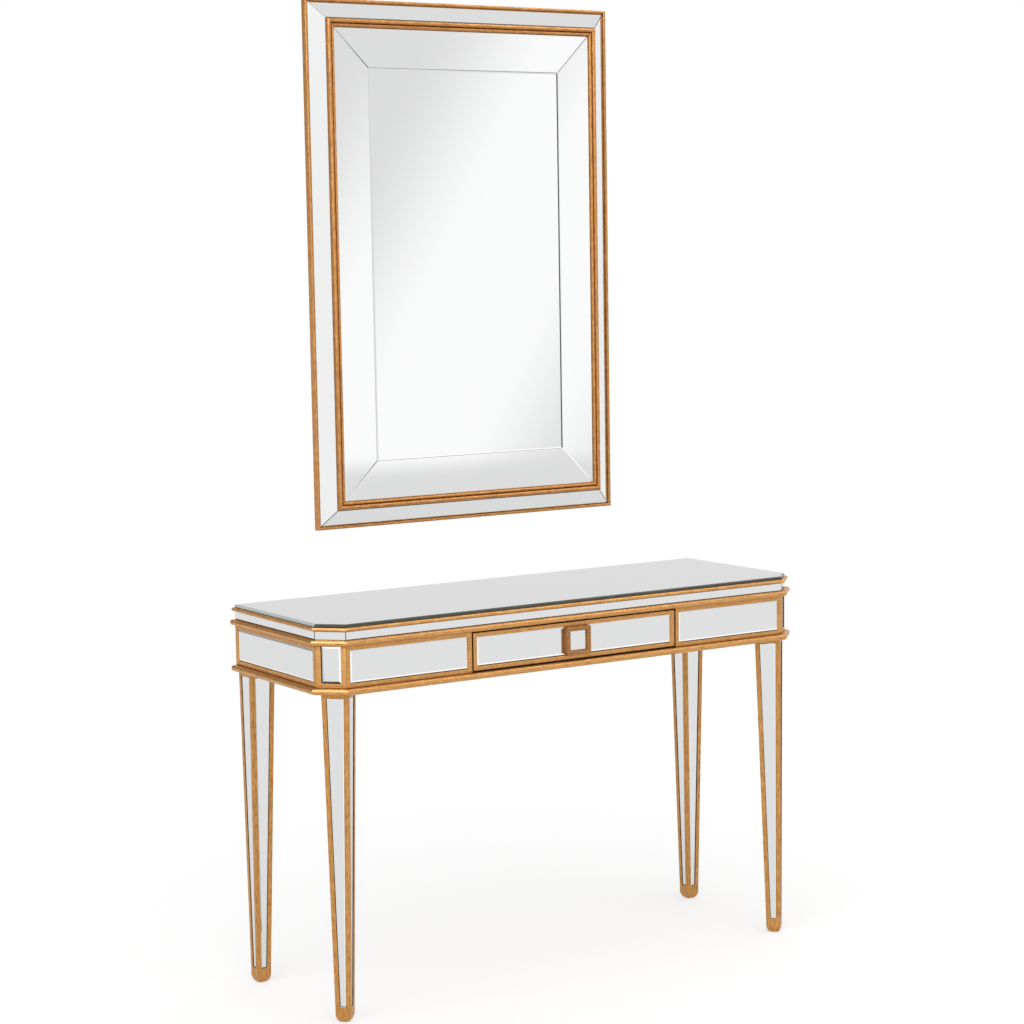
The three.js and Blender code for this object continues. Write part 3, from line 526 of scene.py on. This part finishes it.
# ---- Apron -----------------------------------------------------------
# Six boards under the waist bead, each with a shallow rebated window for its mirror. Wood,
# glued to the beads and mitred at the cut corners; gilt like the beads, edges eased.
def framed_board(name, turn, length, tall, thick, windows, deep, slants, nodes, body,
                 gilt_sides=1, gilt_sill=0):
    """A board seen on its face, with rebated windows (left, right, low, high) of a depth.

    The sides and the sill of the windows are gilt or dark bole. The bole, also on the windows' heads and
    the board's edges and back, paints the shade in the gaps and recesses."""
    columns = sorted({0, length, *[w[0] for w in windows], *[w[1] for w in windows]})
    rows = sorted({0, tall, *[w[2] for w in windows], *[w[3] for w in windows]})
    maker = bmesh.new()
    grain = maker.verts.layers.float_vector.new("grain")
    known = {}

    def corner(x, y, z):
        key = (round(x, 7), round(y, 7), round(z, 7))
        if key not in known:
            slide = slants[0] * (x == 0) + slants[1] * (x == length)
            known[key] = maker.verts.new((x + slide * (z == -thick), y, z))
            known[key][grain] = (x, y, z)
        return known[key]

    def quad(*points, gilt=1):
        maker.faces.new([corner(*p) for p in points]).material_index = 1 - gilt

    def is_window(i, j):
        if not (0 <= i < len(columns) - 1 and 0 <= j < len(rows) - 1):
            return False
        x, y = (columns[i] + columns[i + 1]) / 2, (rows[j] + rows[j + 1]) / 2
        return any(w[0] < x < w[1] and w[2] < y < w[3] for w in windows)

    for i in range(len(columns) - 1):
        for j in range(len(rows) - 1):
            x0, x1, y0, y1 = columns[i], columns[i + 1], rows[j], rows[j + 1]
            z = -deep if is_window(i, j) else 0
            quad((x0, y0, z), (x1, y0, z), (x1, y1, z), (x0, y1, z), gilt=z == 0)
            quad((x0, y1, -thick), (x1, y1, -thick), (x1, y0, -thick), (x0, y0, -thick), gilt=0)
            if is_window(i, j):
                if not is_window(i - 1, j):
                    quad((x0, y0, 0), (x0, y0, z), (x0, y1, z), (x0, y1, 0), gilt=gilt_sides)
                if not is_window(i + 1, j):
                    quad((x1, y1, 0), (x1, y1, z), (x1, y0, z), (x1, y0, 0), gilt=gilt_sides)
                if not is_window(i, j - 1) and y0 > 0:
                    quad((x1, y0, 0), (x1, y0, z), (x0, y0, z), (x0, y0, 0), gilt=gilt_sill)
                if not is_window(i, j + 1) and y1 < tall:
                    quad((x0, y1, 0), (x0, y1, z), (x1, y1, z), (x1, y1, 0), gilt=0)
    for i in range(len(columns) - 1):
        x0, x1 = columns[i], columns[i + 1]
        low_z = -deep if is_window(i, 0) else 0
        high_z = -deep if is_window(i, len(rows) - 2) else 0
        quad((x0, 0, -thick), (x1, 0, -thick), (x1, 0, low_z), (x0, 0, low_z), gilt=0)
        quad((x0, tall, high_z), (x1, tall, high_z), (x1, tall, -thick), (x0, tall, -thick), gilt=0)
    for j in range(len(rows) - 1):
        y0, y1 = rows[j], rows[j + 1]
        quad((0, y0, -thick), (0, y0, 0), (0, y1, 0), (0, y1, -thick), gilt=0)
        quad((length, y1, -thick), (length, y1, 0), (length, y0, 0), (length, y0, -thick), gilt=0)
    holder = added("holder", baked(maker, name, (champagne_gilding, shade_painted_bole)))
    holder.data.transform(turn)
    ease = holder.modifiers.new("Eased edges", "BEVEL")
    ease.width = 0.5 * MM
    ease.segments = 2
    ease.limit_method = "ANGLE"
    ease.material = 0
    finished(name, settled(holder), body, nodes, smooth=50)


rail = 8.5 * MM
stile = 8.5 * MM
corner_stile = 11 * MM
window_depth = 7 * MM
pane_recess = 1.8 * MM
pane_glass = 4 * MM
pane_bevel, pane_drop = 3.8 * MM, 0.9 * MM
pane_gap = 0.6 * MM
close_gap = 0.2 * MM
joint = 0.15 * MM
apron_low, apron_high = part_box("apron_front_left")
opening_half = -apron_high.x
apron_tall = apron_high.z - apron_low.z


def seated(x0, x1, y0, y1, side_gap=close_gap, sill_gap=pane_gap):
    """A pane's outline in its window, fitted close at the top, with a dark joint below."""
    left, right, low, high = x0 + side_gap, x1 - side_gap, y0 + sill_gap, y1 - close_gap
    return [(left, low), (right, low), (right, high), (left, high)]


def apron_face(name, start, end, side_stile, top_rail, slants, tints):
    """One apron board and the bevelled mirror in its window."""
    length = (end - start).length - 2 * joint
    turn = upright(start, end, apron_low.z) @ Matrix.Translation((joint, 0, 0))
    window = (side_stile, length - side_stile, rail, apron_tall - top_rail)
    # Windows at the cut corners have painted shade of bole on their sides. Only the end boards' sills are
    # gilt; the other sills carry painted shade.
    gilt_sides, gilt_sill = int(not name.endswith("corner")), int(name.endswith("end"))
    framed_board("Gilt_apron_" + name, turn, length, apron_tall, ring_depth, [window], window_depth,
                 slants, ["apron_" + name], "table", gilt_sides, gilt_sill)
    outline = seated(*window, close_gap if gilt_sides else pane_gap, close_gap if gilt_sill else pane_gap)
    pane("Apron_glass_" + name, outline, pane_glass, pane_bevel, pane_drop,
         tints, turn @ Matrix.Translation((0, 0, -pane_recess - pane_glass)), "table", ["panel_" + name])


line = face_line(0)
lean = ring_depth * HALF_TURN
# Bevel finishes by side, from the bottom round: painted highlights, painted shade and the dark edge
# finish as a painted dark reflection.
window_tints = [PAINTED_HIGHLIGHT, PAINTED_HIGHLIGHT, FACE, PAINTED_HIGHLIGHT]
end_tints = [PAINTED_HIGHLIGHT, PAINTED_SHADE, PAINTED_SHADE, PAINTED_HIGHLIGHT]
corner_tints = [EDGE, PAINTED_HIGHLIGHT, PAINTED_HIGHLIGHT, PAINTED_SHADE]
for name, start, end, side_stile, top_rail, slants, tints in (
        ("left_end", line[5], line[4], stile, rail, (0, -lean), end_tints),
        ("left_corner", line[4], line[3], corner_stile, 0, (lean, -lean), corner_tints),
        ("front_left", line[3], Vector((-opening_half, front_y)), stile, rail, (lean, 0), window_tints),
        ("front_right", Vector((opening_half, front_y)), line[2], stile, rail, (0, -lean), window_tints),
        ("right_corner", line[2], line[1], corner_stile, 0, (lean, -lean), corner_tints),
        ("right_end", line[1], line[0], stile, rail, (lean, 0), end_tints)):
    apron_face(name, start, end, side_stile, top_rail, slants, tints)


# ---- Drawer front ----------------------------------------------------
# A gilt board with two rebated windows and a solid middle behind the knob, each window
# with its own bevelled mirror. It stands flush in its opening with an open joint round it.
front_low, front_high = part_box("drawer_front")
front_turn = upright(Vector((front_low.x, front_y)), Vector((front_high.x, front_y)), front_low.z)
front_long = front_high.x - front_low.x
front_tall = front_high.z - front_low.z
middle_stile = 54 * MM
window_long = (front_long - middle_stile) / 2 - stile
drawer_windows = [(s, s + window_long, stile, front_tall - stile)
                  for s in (stile, front_long / 2 + middle_stile / 2)]
framed_board("Gilt_drawer_front", front_turn, front_long, front_tall, front_high.y - front_low.y,
             drawer_windows, window_depth, (0, 0), ["drawer_front"], "drawer")
# The drawer's panes carry the windows' painted highlights.
for name, window in zip(("left", "right"), drawer_windows):
    pane("Drawer_glass_" + name, seated(*window), pane_glass, pane_bevel, pane_drop, window_tints,
         front_turn @ Matrix.Translation((0, 0, -pane_recess - pane_glass)),
         "drawer", ["drawer_pane_" + name])


# ---- Knob ------------------------------------------------------------
# A square tray turned up from one block, its rim rounded over and its well faced with a
# small mirror. Gilt a shade browner than the table, held by one screw from inside.
knob_gilding = gilding("Antique gold leaf on the knob", "#704825", "#9e6c3e", "#bb8755")


def rounded_square(half, radius, z, steps=5):
    """A square ring with round corners, anticlockwise, at one level."""
    ring = []
    for k in range(4):
        middle = math.radians(45 + 90 * k)
        reach = (half - radius) * math.sqrt(2)
        for i in range(steps + 1):
            turn = math.radians(90 * k + 90 * i / steps)
            ring.append(Vector((reach * math.cos(middle) + radius * math.cos(turn),
                                reach * math.sin(middle) + radius * math.sin(turn), z)))
    return ring


def loft(name, rings, turn, finishes, grain_axis=0, shade_painted_at=lambda level, i: 0):
    """A closed skin through rings of equal length, with grain along an axis, and the second finish where
    asked: dark bole as painted shade.
    """
    maker = bmesh.new()
    grain = maker.verts.layers.float_vector.new("grain")
    made = []
    for ring in rings:
        row = []
        for p in ring:
            row.append(maker.verts.new(turn @ p))
            row[-1][grain] = [p[(grain_axis + step) % 3] for step in range(3)]
        made.append(row)
    for level, (low, high) in enumerate(zip(made, made[1:])):
        for i in range(len(low)):
            k = (i + 1) % len(low)
            maker.faces.new((low[i], low[k], high[k], high[i])).material_index = shade_painted_at(level, i)
    maker.faces.new(made[0][::-1])
    maker.faces.new(made[-1])
    bmesh.ops.remove_doubles(maker, verts=maker.verts, dist=2e-6)
    bmesh.ops.dissolve_degenerate(maker, edges=maker.edges, dist=2e-6)
    return baked(maker, name, finishes)


knob_low, knob_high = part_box("knob_body")
knob_half = (knob_high.x - knob_low.x) / 2
knob_seat = front_y - 0.3 * MM
knob_proud = knob_seat - knob_low.y
knob_rim = 8.5 * MM
knob_floor = 2.2 * MM
edge_round = 1.8 * MM
well_half = knob_half - knob_rim
stood_up = Matrix.Rotation(math.pi / 2, 4, "X")
knob_turn = Matrix.Translation((0, knob_seat, (knob_low.z + knob_high.z) / 2)) @ stood_up
corner_round = 4.5 * MM
back_ease = 0.4 * MM
well_round = edge_round * 0.6
well_corner = 0.8 * MM
boss = 6 * MM
boss_round = boss * 0.98
knob_rings = [rounded_square(boss, boss_round, knob_seat - knob_high.y),
              rounded_square(boss, boss_round, 0),
              rounded_square(knob_half - back_ease, corner_round, 0),
              rounded_square(knob_half, corner_round, back_ease)]
quarter_turn = [math.radians(90 * i / 5) for i in range(6)]
for turn in quarter_turn:
    drawn = edge_round * (1 - math.cos(turn))
    knob_rings.append(rounded_square(knob_half - drawn, corner_round - drawn * 0.6,
                                     knob_proud - edge_round + edge_round * math.sin(turn)))
for turn in quarter_turn:
    knob_rings.append(rounded_square(well_half + well_round * (1 - math.sin(turn)), well_corner,
                                     knob_proud - well_round * (1 - math.cos(turn))))
knob_rings.append(rounded_square(well_half, well_corner, knob_floor))
finished("Gilt_knob", loft("Gilt_knob", knob_rings, knob_turn, [knob_gilding]), "drawer",
         ["knob_body"])
side = well_half - 0.3 * MM
knob_glass, knob_bevel, knob_drop = 2 * MM, 1.8 * MM, 0.5 * MM
# Its bevels carry painted highlights below and at the sides, and painted shade above.
pane("Knob_glass", [(-side, -side), (side, -side), (side, side), (-side, side)],
     knob_glass, knob_bevel, knob_drop, [PAINTED_HIGHLIGHT, PAINTED_HIGHLIGHT, PAINTED_SHADE, PAINTED_HIGHLIGHT],
     knob_turn @ Matrix.Translation((0, 0, knob_floor)), "drawer", ["knob_mirror"])


# ---- Legs ------------------------------------------------------------
# Four square posts that taper to a rounded foot, each face rebated for a long mirror with
# gilt wood left at the corners. Tenoned into the corner blocks; the front pair stand turned
# to face the cut corners.
leg_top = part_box("lower_bead")[0].z
leg_half_top = 27.25 * MM
leg_half_foot = 15.5 * MM
foot_block = 29 * MM
foot_step = 2 * MM
leg_stile = 9 * MM
leg_rail = 8 * MM
leg_rebate = 3 * MM
leg_lean = 7 * MM
leg_inset = 3.5 * MM
leg_along_cut = 5 * MM


def leg_half(z):
    """Half the leg's width at a height."""
    share = max(0, (z - foot_block) / (leg_top - foot_block))
    return leg_half_foot + (leg_half_top - leg_half_foot) * share


def leg_ring(z, half, radius, rebate, shift):
    """One section of a leg: round corners and, in each face, a rebate with eased edges."""
    centre = Vector((shift[0], shift[1], 0)) * (1 - z / leg_top)
    side = max(half - leg_stile, half * 0.3)
    ease = min(0.6 * MM, rebate)
    ring = []
    for k in range(4):
        spin = Matrix.Rotation(math.radians(90 * k), 3, "Z")
        arc = [math.radians(-45 + 90 * i / 4) for i in range(5)]
        local = [(half, -side), (half - ease * 0.3, -side + ease * 0.3), (half - ease, -side + ease),
                 (half - rebate, -side + ease), (half - rebate, side - ease),
                 (half - ease, side - ease), (half - ease * 0.3, side - ease * 0.3), (half, side)]
        local += [(half - radius + radius * math.cos(a + math.pi / 4),
                   half - radius + radius * math.sin(a + math.pi / 4)) for a in arc]
        ring += [spin @ Vector((x, y, z)) + centre for x, y in local]
    return ring


def leg_post(name, turn, shift):
    """The post: rounded foot, solid block, rebated shaft and solid head."""
    rings = []
    corner = 1.1 * MM
    bottom_half = 7 * MM
    foot_round = 15 * MM
    steps = 8
    for i in range(steps + 1):
        share = math.radians(90 * i / steps)
        half = bottom_half + (leg_half_foot - bottom_half) * math.sin(share)
        soft = corner + (half * 0.6 - corner) * (1 - i / steps)
        rings.append(leg_ring(foot_round * (1 - math.cos(share)), half, soft, 0, shift))
    low, high = foot_block + foot_step, leg_top - leg_rail
    ease = 0.5 * MM
    for z, rebate in ((low, 0), (low + ease, ease), (low + ease, leg_rebate),
                      (high - ease, leg_rebate), (high - ease, ease), (high, 0), (leg_top - 0.2 * MM, 0)):
        rings.append(leg_ring(z, leg_half(z), corner, rebate, shift))
    # The rebate's walls, floor, sill and head take the dark bole: painted shade in the recess.
    first, on_face = steps + 2, len(rings[0]) // 4
    post = loft("Gilt_leg_" + name, rings, turn, (leg_gilding, shade_painted_bole), 2,
                lambda level, i: first <= level < first + 3 and 2 <= i % on_face <= 4)
    finished("Gilt_leg_" + name, post, "table", ["leg_" + name])


def leg_panes(name, turn, shift):
    """Four tapered mirrors in the rebates of one leg, joined as one piece."""
    maker = bmesh.new()
    end_gap, side_gap = 0.7 * MM, 1.3 * MM
    low, high = foot_block + foot_step + end_gap, leg_top - leg_rail - end_gap
    thick, bevel, drop = 1.4 * MM, 1.4 * MM, 0.3 * MM
    for k in range(4):
        spin = Matrix.Rotation(math.radians(90 * k), 3, "Z")

        def at(z, inset, depth):
            half = leg_half(z)
            side = half - leg_stile - side_gap - inset
            centre = Vector((shift[0], shift[1], 0)) * (1 - z / leg_top)
            return [turn @ (spin @ Vector((half - depth, y, z)) + centre) for y in (-side, side)]

        rings = []
        face = leg_rebate - thick
        for inset, depth in ((0, leg_rebate), (0, face + drop), (bevel, face)):
            a, b = at(low + inset, inset, depth)
            d, c = at(high - inset, inset, depth)
            rings.append([maker.verts.new(p) for p in (a, b, c, d)])
        maker.faces.new(rings[0][::-1]).material_index = EDGE
        maker.faces.new(rings[2]).material_index = FACE
        # Each pane's right-hand bevel carries a painted highlight.
        for i in range(4):
            j = (i + 1) % 4
            for level, finish in ((0, EDGE), (1, PAINTED_HIGHLIGHT if i == 1 else FACE)):
                a, b = rings[level], rings[level + 1]
                maker.faces.new((a[i], a[j], b[j], b[i])).material_index = finish
    glass = baked(maker, "Leg_glass_" + name, glass_finishes)
    finished("Leg_glass_" + name, glass, "table", smooth=1)


# The legs' gold is a darker copy of the table's: painted shade on the legs.
leg_gilding = gilding("Champagne gold leaf, rubbed darker on the legs", "#8d5d2e", "#b98549", "#d6a364")
cut_middle = (line[1] + line[2]) / 2
reach = leg_inset + leg_half_top
half_root = math.sqrt(0.5)
still = Matrix.Identity(4)
for side, hand in ((-1, "left"), (1, "right")):
    front = Vector((side * (cut_middle.x - (reach + leg_along_cut) * half_root),
                    cut_middle.y + (reach - leg_along_cut) * half_root, 0))
    back = Vector((side * (half_length - reach), back_y - reach, 0))
    quarter = Matrix.Rotation(side * math.pi / 4, 4, "Z")
    for name, place, turn, shift in (("front_" + hand, front, quarter, (0, -leg_lean * math.sqrt(2))),
                                     ("back_" + hand, back, still, (side * leg_lean, leg_lean))):
        put = Matrix.Translation(place) @ turn
        leg_post(name, put, shift)
        leg_panes(name, put, shift)


# ---- Wall mirror: gilt mouldings -------------------------------------
# Two mitred frames: a bead with a plain dark side round the outside, and a double bead
# with a groove where the sloped glass meets the flat. Carved wood, gilt like the table.
outer_low, outer_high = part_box("outer_moulding")
inner_low, inner_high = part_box("inner_moulding")
core_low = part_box("mirror_core")[0]
wall_y = outer_high.y


def frame_path(low, high):
    """The four corners of an upright frame, clockwise from the lower left."""
    corners = ((low.x, low.z), (low.x, high.z), (high.x, high.z), (high.x, low.z))
    return [Vector((x, wall_y, z)) for x, z in corners]


# The frame's gold is a darker copy of the table's, painting the browner shade of the frame.
mirror_gilding = gilding("Champagne gold leaf over red bole", "#8a5a30", "#b88148", "#d8a266")
outer_width = 6.5 * MM
outer_base = 12 * MM
outer_rise = outer_high.y - outer_low.y - outer_base
outer_section = [(0, 0), (0, outer_base)]
outer_section += [(-p[1], outer_base + p[0]) for p in half_round(0, outer_width, outer_rise)][1:]
outer_section += [(-outer_width, 0)]
frame_mitres = [1] * 5
to_room = Vector((0, -1, 0))
moulding("Gilt_outer_frame", outer_section, frame_path(outer_low, outer_high), frame_mitres, to_room,
         mirror_gilding, "wall_mirror", "outer_moulding")

inner_seat = wall_y - inner_high.y
inner_width = 16.9 * MM
inner_top = wall_y - inner_low.y
inner_shelf = inner_top - 8 * MM
groove = 0.58
inner_section = [(0, inner_seat)]
for start, end, rise in ((0, groove, 8 * MM), (groove, 1, 5.6 * MM)):
    lift = half_round(start * inner_width, end * inner_width, rise)
    inner_section += [(-p[1], inner_shelf + p[0]) for p in lift][(start > 0):]
inner_section += [(-inner_width, inner_seat)]
moulding("Gilt_inner_frame", inner_section, frame_path(inner_low, inner_high), frame_mitres, to_room,
         mirror_gilding, "wall_mirror", "inner_moulding")


# ---- Wall mirror: glass ----------------------------------------------
# Nine pieces of silvered glass: four strips that slope back to the outer frame, four wide
# strips inside the inner frame that dish towards the middle, and the plate. They are
# shielded from the soft boxes, whose reflections would show in the slopes.
mirror_half = Vector((outer_high.x, (outer_high.z - outer_low.z) / 2))
mirror_turn = Matrix.Translation((0, wall_y, (outer_low.z + outer_high.z) / 2)) @ stood_up
strip_glass = 4 * MM
strip_width = 33.5 * MM
band_inset = mirror_half.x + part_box("inner_strip_left")[0].x
plate_inset = mirror_half.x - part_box("centre_mirror")[1].x
dish = 1.2 * MM
band_width = plate_inset - band_inset
strip_names = ["bottom", "right", "top", "left"]
hair = 0.15 * MM
strip_bevel, strip_drop = 1.2 * MM, 0.5 * MM
border_bevel, border_drop = 1.3 * MM, 0.4 * MM
border_lift = 0.3 * MM
centre_bevel, centre_drop = 3.2 * MM, 0.6 * MM


def mirror_corner(inset, k):
    """A corner of the mirror's plan, drawn in: 0 lower left, 1 lower right, 2 and 3 above."""
    x, y = ((-1, -1), (1, -1), (1, 1), (-1, 1))[k % 4]
    return Vector((x * (mirror_half.x - inset), y * (mirror_half.y - inset)))


def band(outer, inner, k):
    """The outline of one mitred strip between two insets, a hair inside its joints."""
    points = [mirror_corner(outer, k), mirror_corner(outer, k + 1),
              mirror_corner(inner, k + 1), mirror_corner(inner, k)]
    return inset_outline(points, hair)


def inward(p, k):
    """How far a point lies inside the mirror's edge on side k."""
    return (p.y + mirror_half.y, mirror_half.x - p.x, mirror_half.y - p.y, p.x + mirror_half.x)[k]


slope_low = wall_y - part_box("outer_strip_left")[1].y
slope_high = wall_y - core_low.y
slope = (slope_high - slope_low) / strip_width
border_seat = slope_high + border_lift
# The bevel finishes of each strip, by side from the outer edge round: painted highlights, painted shade
# and the dark edge finish as a painted dark reflection. The bottom sloped strip's face is the brighter
# silvering, painted light.
slope_tints = {"bottom": [EDGE, EDGE, EDGE, EDGE], "right": [FACE, EDGE, FACE, FACE],
               "top": [FACE, PAINTED_SHADE, EDGE, FACE], "left": [FACE] * 4}
border_tints = {"bottom": [PAINTED_HIGHLIGHT] * 4, "right": [FACE, FACE, FACE, PAINTED_HIGHLIGHT],
                "top": [FACE, FACE, FACE, EDGE], "left": [FACE, PAINTED_HIGHLIGHT, FACE, PAINTED_SHADE]}
for k, name in enumerate(strip_names):
    pane("Sloped_glass_" + name, band(outer_width, outer_width + strip_width, k), strip_glass,
         strip_bevel, strip_drop, slope_tints[name], mirror_turn, "wall_mirror", ["outer_strip_" + name],
         lambda p, k=k: slope_low + slope * (inward(p, k) - outer_width), PAINTED_LIGHT if k == 0 else FACE)
    pane("Border_glass_" + name, band(band_inset, plate_inset, k), strip_glass,
         border_bevel, border_drop, border_tints[name], mirror_turn, "wall_mirror",
         ["inner_strip_" + name],
         lambda p, k=k: border_seat - dish * (k % 2) * (inward(p, k) - band_inset) / band_width)
plate_outline = inset_outline([mirror_corner(plate_inset, k) for k in range(4)], hair)
# The plate's bottom bevel carries a painted highlight and its right bevel the dark edge finish as a
# painted dark reflection.
pane("Centre_glass", plate_outline, strip_glass - dish + border_lift, centre_bevel, centre_drop,
     [PAINTED_HIGHLIGHT, EDGE, FACE, FACE], mirror_turn @ Matrix.Translation((0, 0, slope_high)),
     "wall_mirror", ["centre_mirror"])
# The plate on the table is shielded with them.
shielded = ("Mirror_", "Sloped_", "Border_", "Centre_")
for glass in [o for o in bpy.data.objects if o.name.startswith(shielded)]:
    shaded_from_boxes.objects.link(glass)
    shaded_from_boxes.collection_objects[-1].light_linking.link_state = "EXCLUDE"


# ---- Hidden woodwork -------------------------------------------------
# Boards that the glass and gilding cover: fibreboard painted dark brown, and softwood
# blocks, runners and drawer sides left bare. The hangers and the knob's screw are steel.
def softwood(name, axis):
    """Planed pine with the grain along an axis: growth lines about 4 mm apart."""
    made, tree = material(name)
    place = node(tree, "ShaderNodeTexCoord")
    scale = [1 / 0.004] * 3
    scale[axis] = 1 / 0.12
    run = node(tree, "ShaderNodeMapping", {"Scale": scale}, {"Vector": place.outputs["Object"]})
    rings = node(tree, "ShaderNodeTexNoise", {"Scale": 1, "Detail": 5, "Distortion": 0.4},
                 {"Vector": run})
    tone = node(tree, "ShaderNodeValToRGB", links={"Fac": rings})
    tone.color_ramp.elements[0].position, tone.color_ramp.elements[0].color = 0.3, linear("#a57c4d")
    tone.color_ramp.elements[1].position, tone.color_ramp.elements[1].color = 0.7, linear("#d9b98a")
    relief = node(tree, "ShaderNodeBump", {"Strength": 0.2, "Distance": 0.0003}, {"Height": rings})
    shader = node(tree, "ShaderNodeBsdfPrincipled", {"Roughness": 0.72},
                  {"Base Color": tone, "Normal": relief})
    node(tree, "ShaderNodeOutputMaterial", links={"Surface": shader})
    return made


# Matt paint over the fibres, faintly clouded and stippled by the roller.
brown_board, tree = material("Fibreboard painted dark brown")
place = node(tree, "ShaderNodeTexCoord")
stipple = node(tree, "ShaderNodeTexNoise", {"Scale": 600, "Detail": 3},
               {"Vector": place.outputs["Object"]})
relief = node(tree, "ShaderNodeBump", {"Strength": 0.3, "Distance": 0.0002}, {"Height": stipple})
shader = node(tree, "ShaderNodeBsdfPrincipled", {"Roughness": 0.66},
              {"Base Color": mottled(tree, "#33271f", "#463629", 14, 3)[0],
               "Normal": relief})
node(tree, "ShaderNodeOutputMaterial", links={"Surface": shader})

# Bright plating with a fine spangle, some of its crystals duller than others.
zinc, tree = material("Zinc-plated steel")
place = node(tree, "ShaderNodeTexCoord")
spangle = node(tree, "ShaderNodeTexVoronoi", {"Scale": 260}, {"Vector": place.outputs["Object"]})
gloss = node(tree, "ShaderNodeMapRange", {"To Min": 0.26, "To Max": 0.42}, {"Value": spangle})
tone = node(tree, "ShaderNodeMix", {"data_type": "RGBA", 6: linear("#b9bcbf"), 7: linear("#d3d6d8")},
            {0: spangle})
shader = node(tree, "ShaderNodeBsdfPrincipled", {"Metallic": 1},
              {"Base Color": tone.outputs[2], "Roughness": gloss})
node(tree, "ShaderNodeOutputMaterial", links={"Surface": shader})

pine_x, pine_y, pine_z = (softwood("Pine, grain along " + "XYZ"[a], a) for a in range(3))


def repaint(finish, *names):
    """Gives carried-over CAD nodes a finish."""
    for name in names:
        frame["nodes"][name].material_slots[0].material = finish


repaint(brown_board, "top_board", "back_board", "mirror_core")
repaint(pine_y, "drawer_runner_left", "drawer_runner_right", "drawer_side_left", "drawer_side_right")
repaint(pine_x, "drawer_back", "drawer_bottom")
repaint(pine_z, "corner_block_front_left", "corner_block_front_right", "corner_block_back_left",
        "corner_block_back_right")
repaint(zinc, "hanger_left", "hanger_right", "knob_screw")


# ---- Screws at the back ----------------------------------------------
# Raised steel screws: two through the back board into each corner block, and one at each end
# of the hanger plates. They are driven by hand, so each cross stands at its own angle.
def screw_tree():
    """A cross-head screw on every point, facing backwards, each turned at random."""
    tree, given = start_tree("Screws on points", ("Head radius", "Head rise", "Cross width"))
    ball = node(tree, "GeometryNodeMeshUVSphere", {"Segments": 24, "Rings": 12},
                {"Radius": given["Head radius"]})
    flatness = node(tree, "ShaderNodeMath", {"operation": "DIVIDE"},
                    {0: given["Head rise"], 1: given["Head radius"]})
    squash = node(tree, "ShaderNodeCombineXYZ", {"X": 1, "Y": 1}, {"Z": flatness})
    dome = node(tree, "GeometryNodeTransform", links={"Geometry": ball, "Scale": squash})
    size = node(tree, "ShaderNodeCombineXYZ",
                links={"X": given["Head radius"], "Y": given["Cross width"], "Z": given["Head rise"]})
    bar = node(tree, "GeometryNodeMeshCube", links={"Size": size})
    lift = node(tree, "ShaderNodeCombineXYZ", links={"Z": given["Head rise"]})
    cut = node(tree, "GeometryNodeMeshBoolean", {"operation": "DIFFERENCE"}, {"Mesh 1": dome})
    for angle in (0, math.pi / 2):
        arm = node(tree, "GeometryNodeTransform", {"Rotation": (0, 0, angle)},
                   {"Geometry": bar, "Translation": lift})
        tree.links.new(arm.outputs["Geometry"], cut.inputs["Mesh 2"])
    driven = node(tree, "GeometryNodeInstanceOnPoints", {"Rotation": (-math.pi / 2, 0, 0)},
                  {"Points": given["Geometry"], "Instance": cut})
    chance = node(tree, "FunctionNodeRandomValue",
                  {"data_type": "FLOAT_VECTOR", 1: (0, 0, math.pi / 2), "Seed": 4})
    turned = node(tree, "GeometryNodeRotateInstances", links={"Instances": driven, "Rotation": chance})
    return end_tree(tree, turned, given)


screws_on_points = screw_tree()
board_low, board_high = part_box("back_board")
block_low, block_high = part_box("corner_block_back_right")
block_middle = (block_low.x + block_high.x) / 2
board_places = [(side * block_middle, board_high.y, board_low.z + share * (board_high.z - board_low.z))
                for side in (-1, 1) for share in (0.28, 0.72)]
plate_places = []
for name in ("hanger_left", "hanger_right"):
    low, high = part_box(name)
    plate_places += [(low.x + share * (high.x - low.x), high.y, (low.z + high.z) / 2)
                     for share in (0.13, 0.87)]
for name, places, radius, body in (("Back_board_screws", board_places, 4.2 * MM, "table"),
                                   ("Hanger_screws", plate_places, 2.6 * MM, "wall_mirror")):
    points = bpy.data.meshes.new("points")
    points.from_pydata(places, [], [])
    heads = run_tree(screws_on_points, points, {"Head radius": radius, "Head rise": radius * 0.3,
                                                "Cross width": radius * 0.24, "Finish": zinc})
    heads.name = name
    finished(name, heads, body)
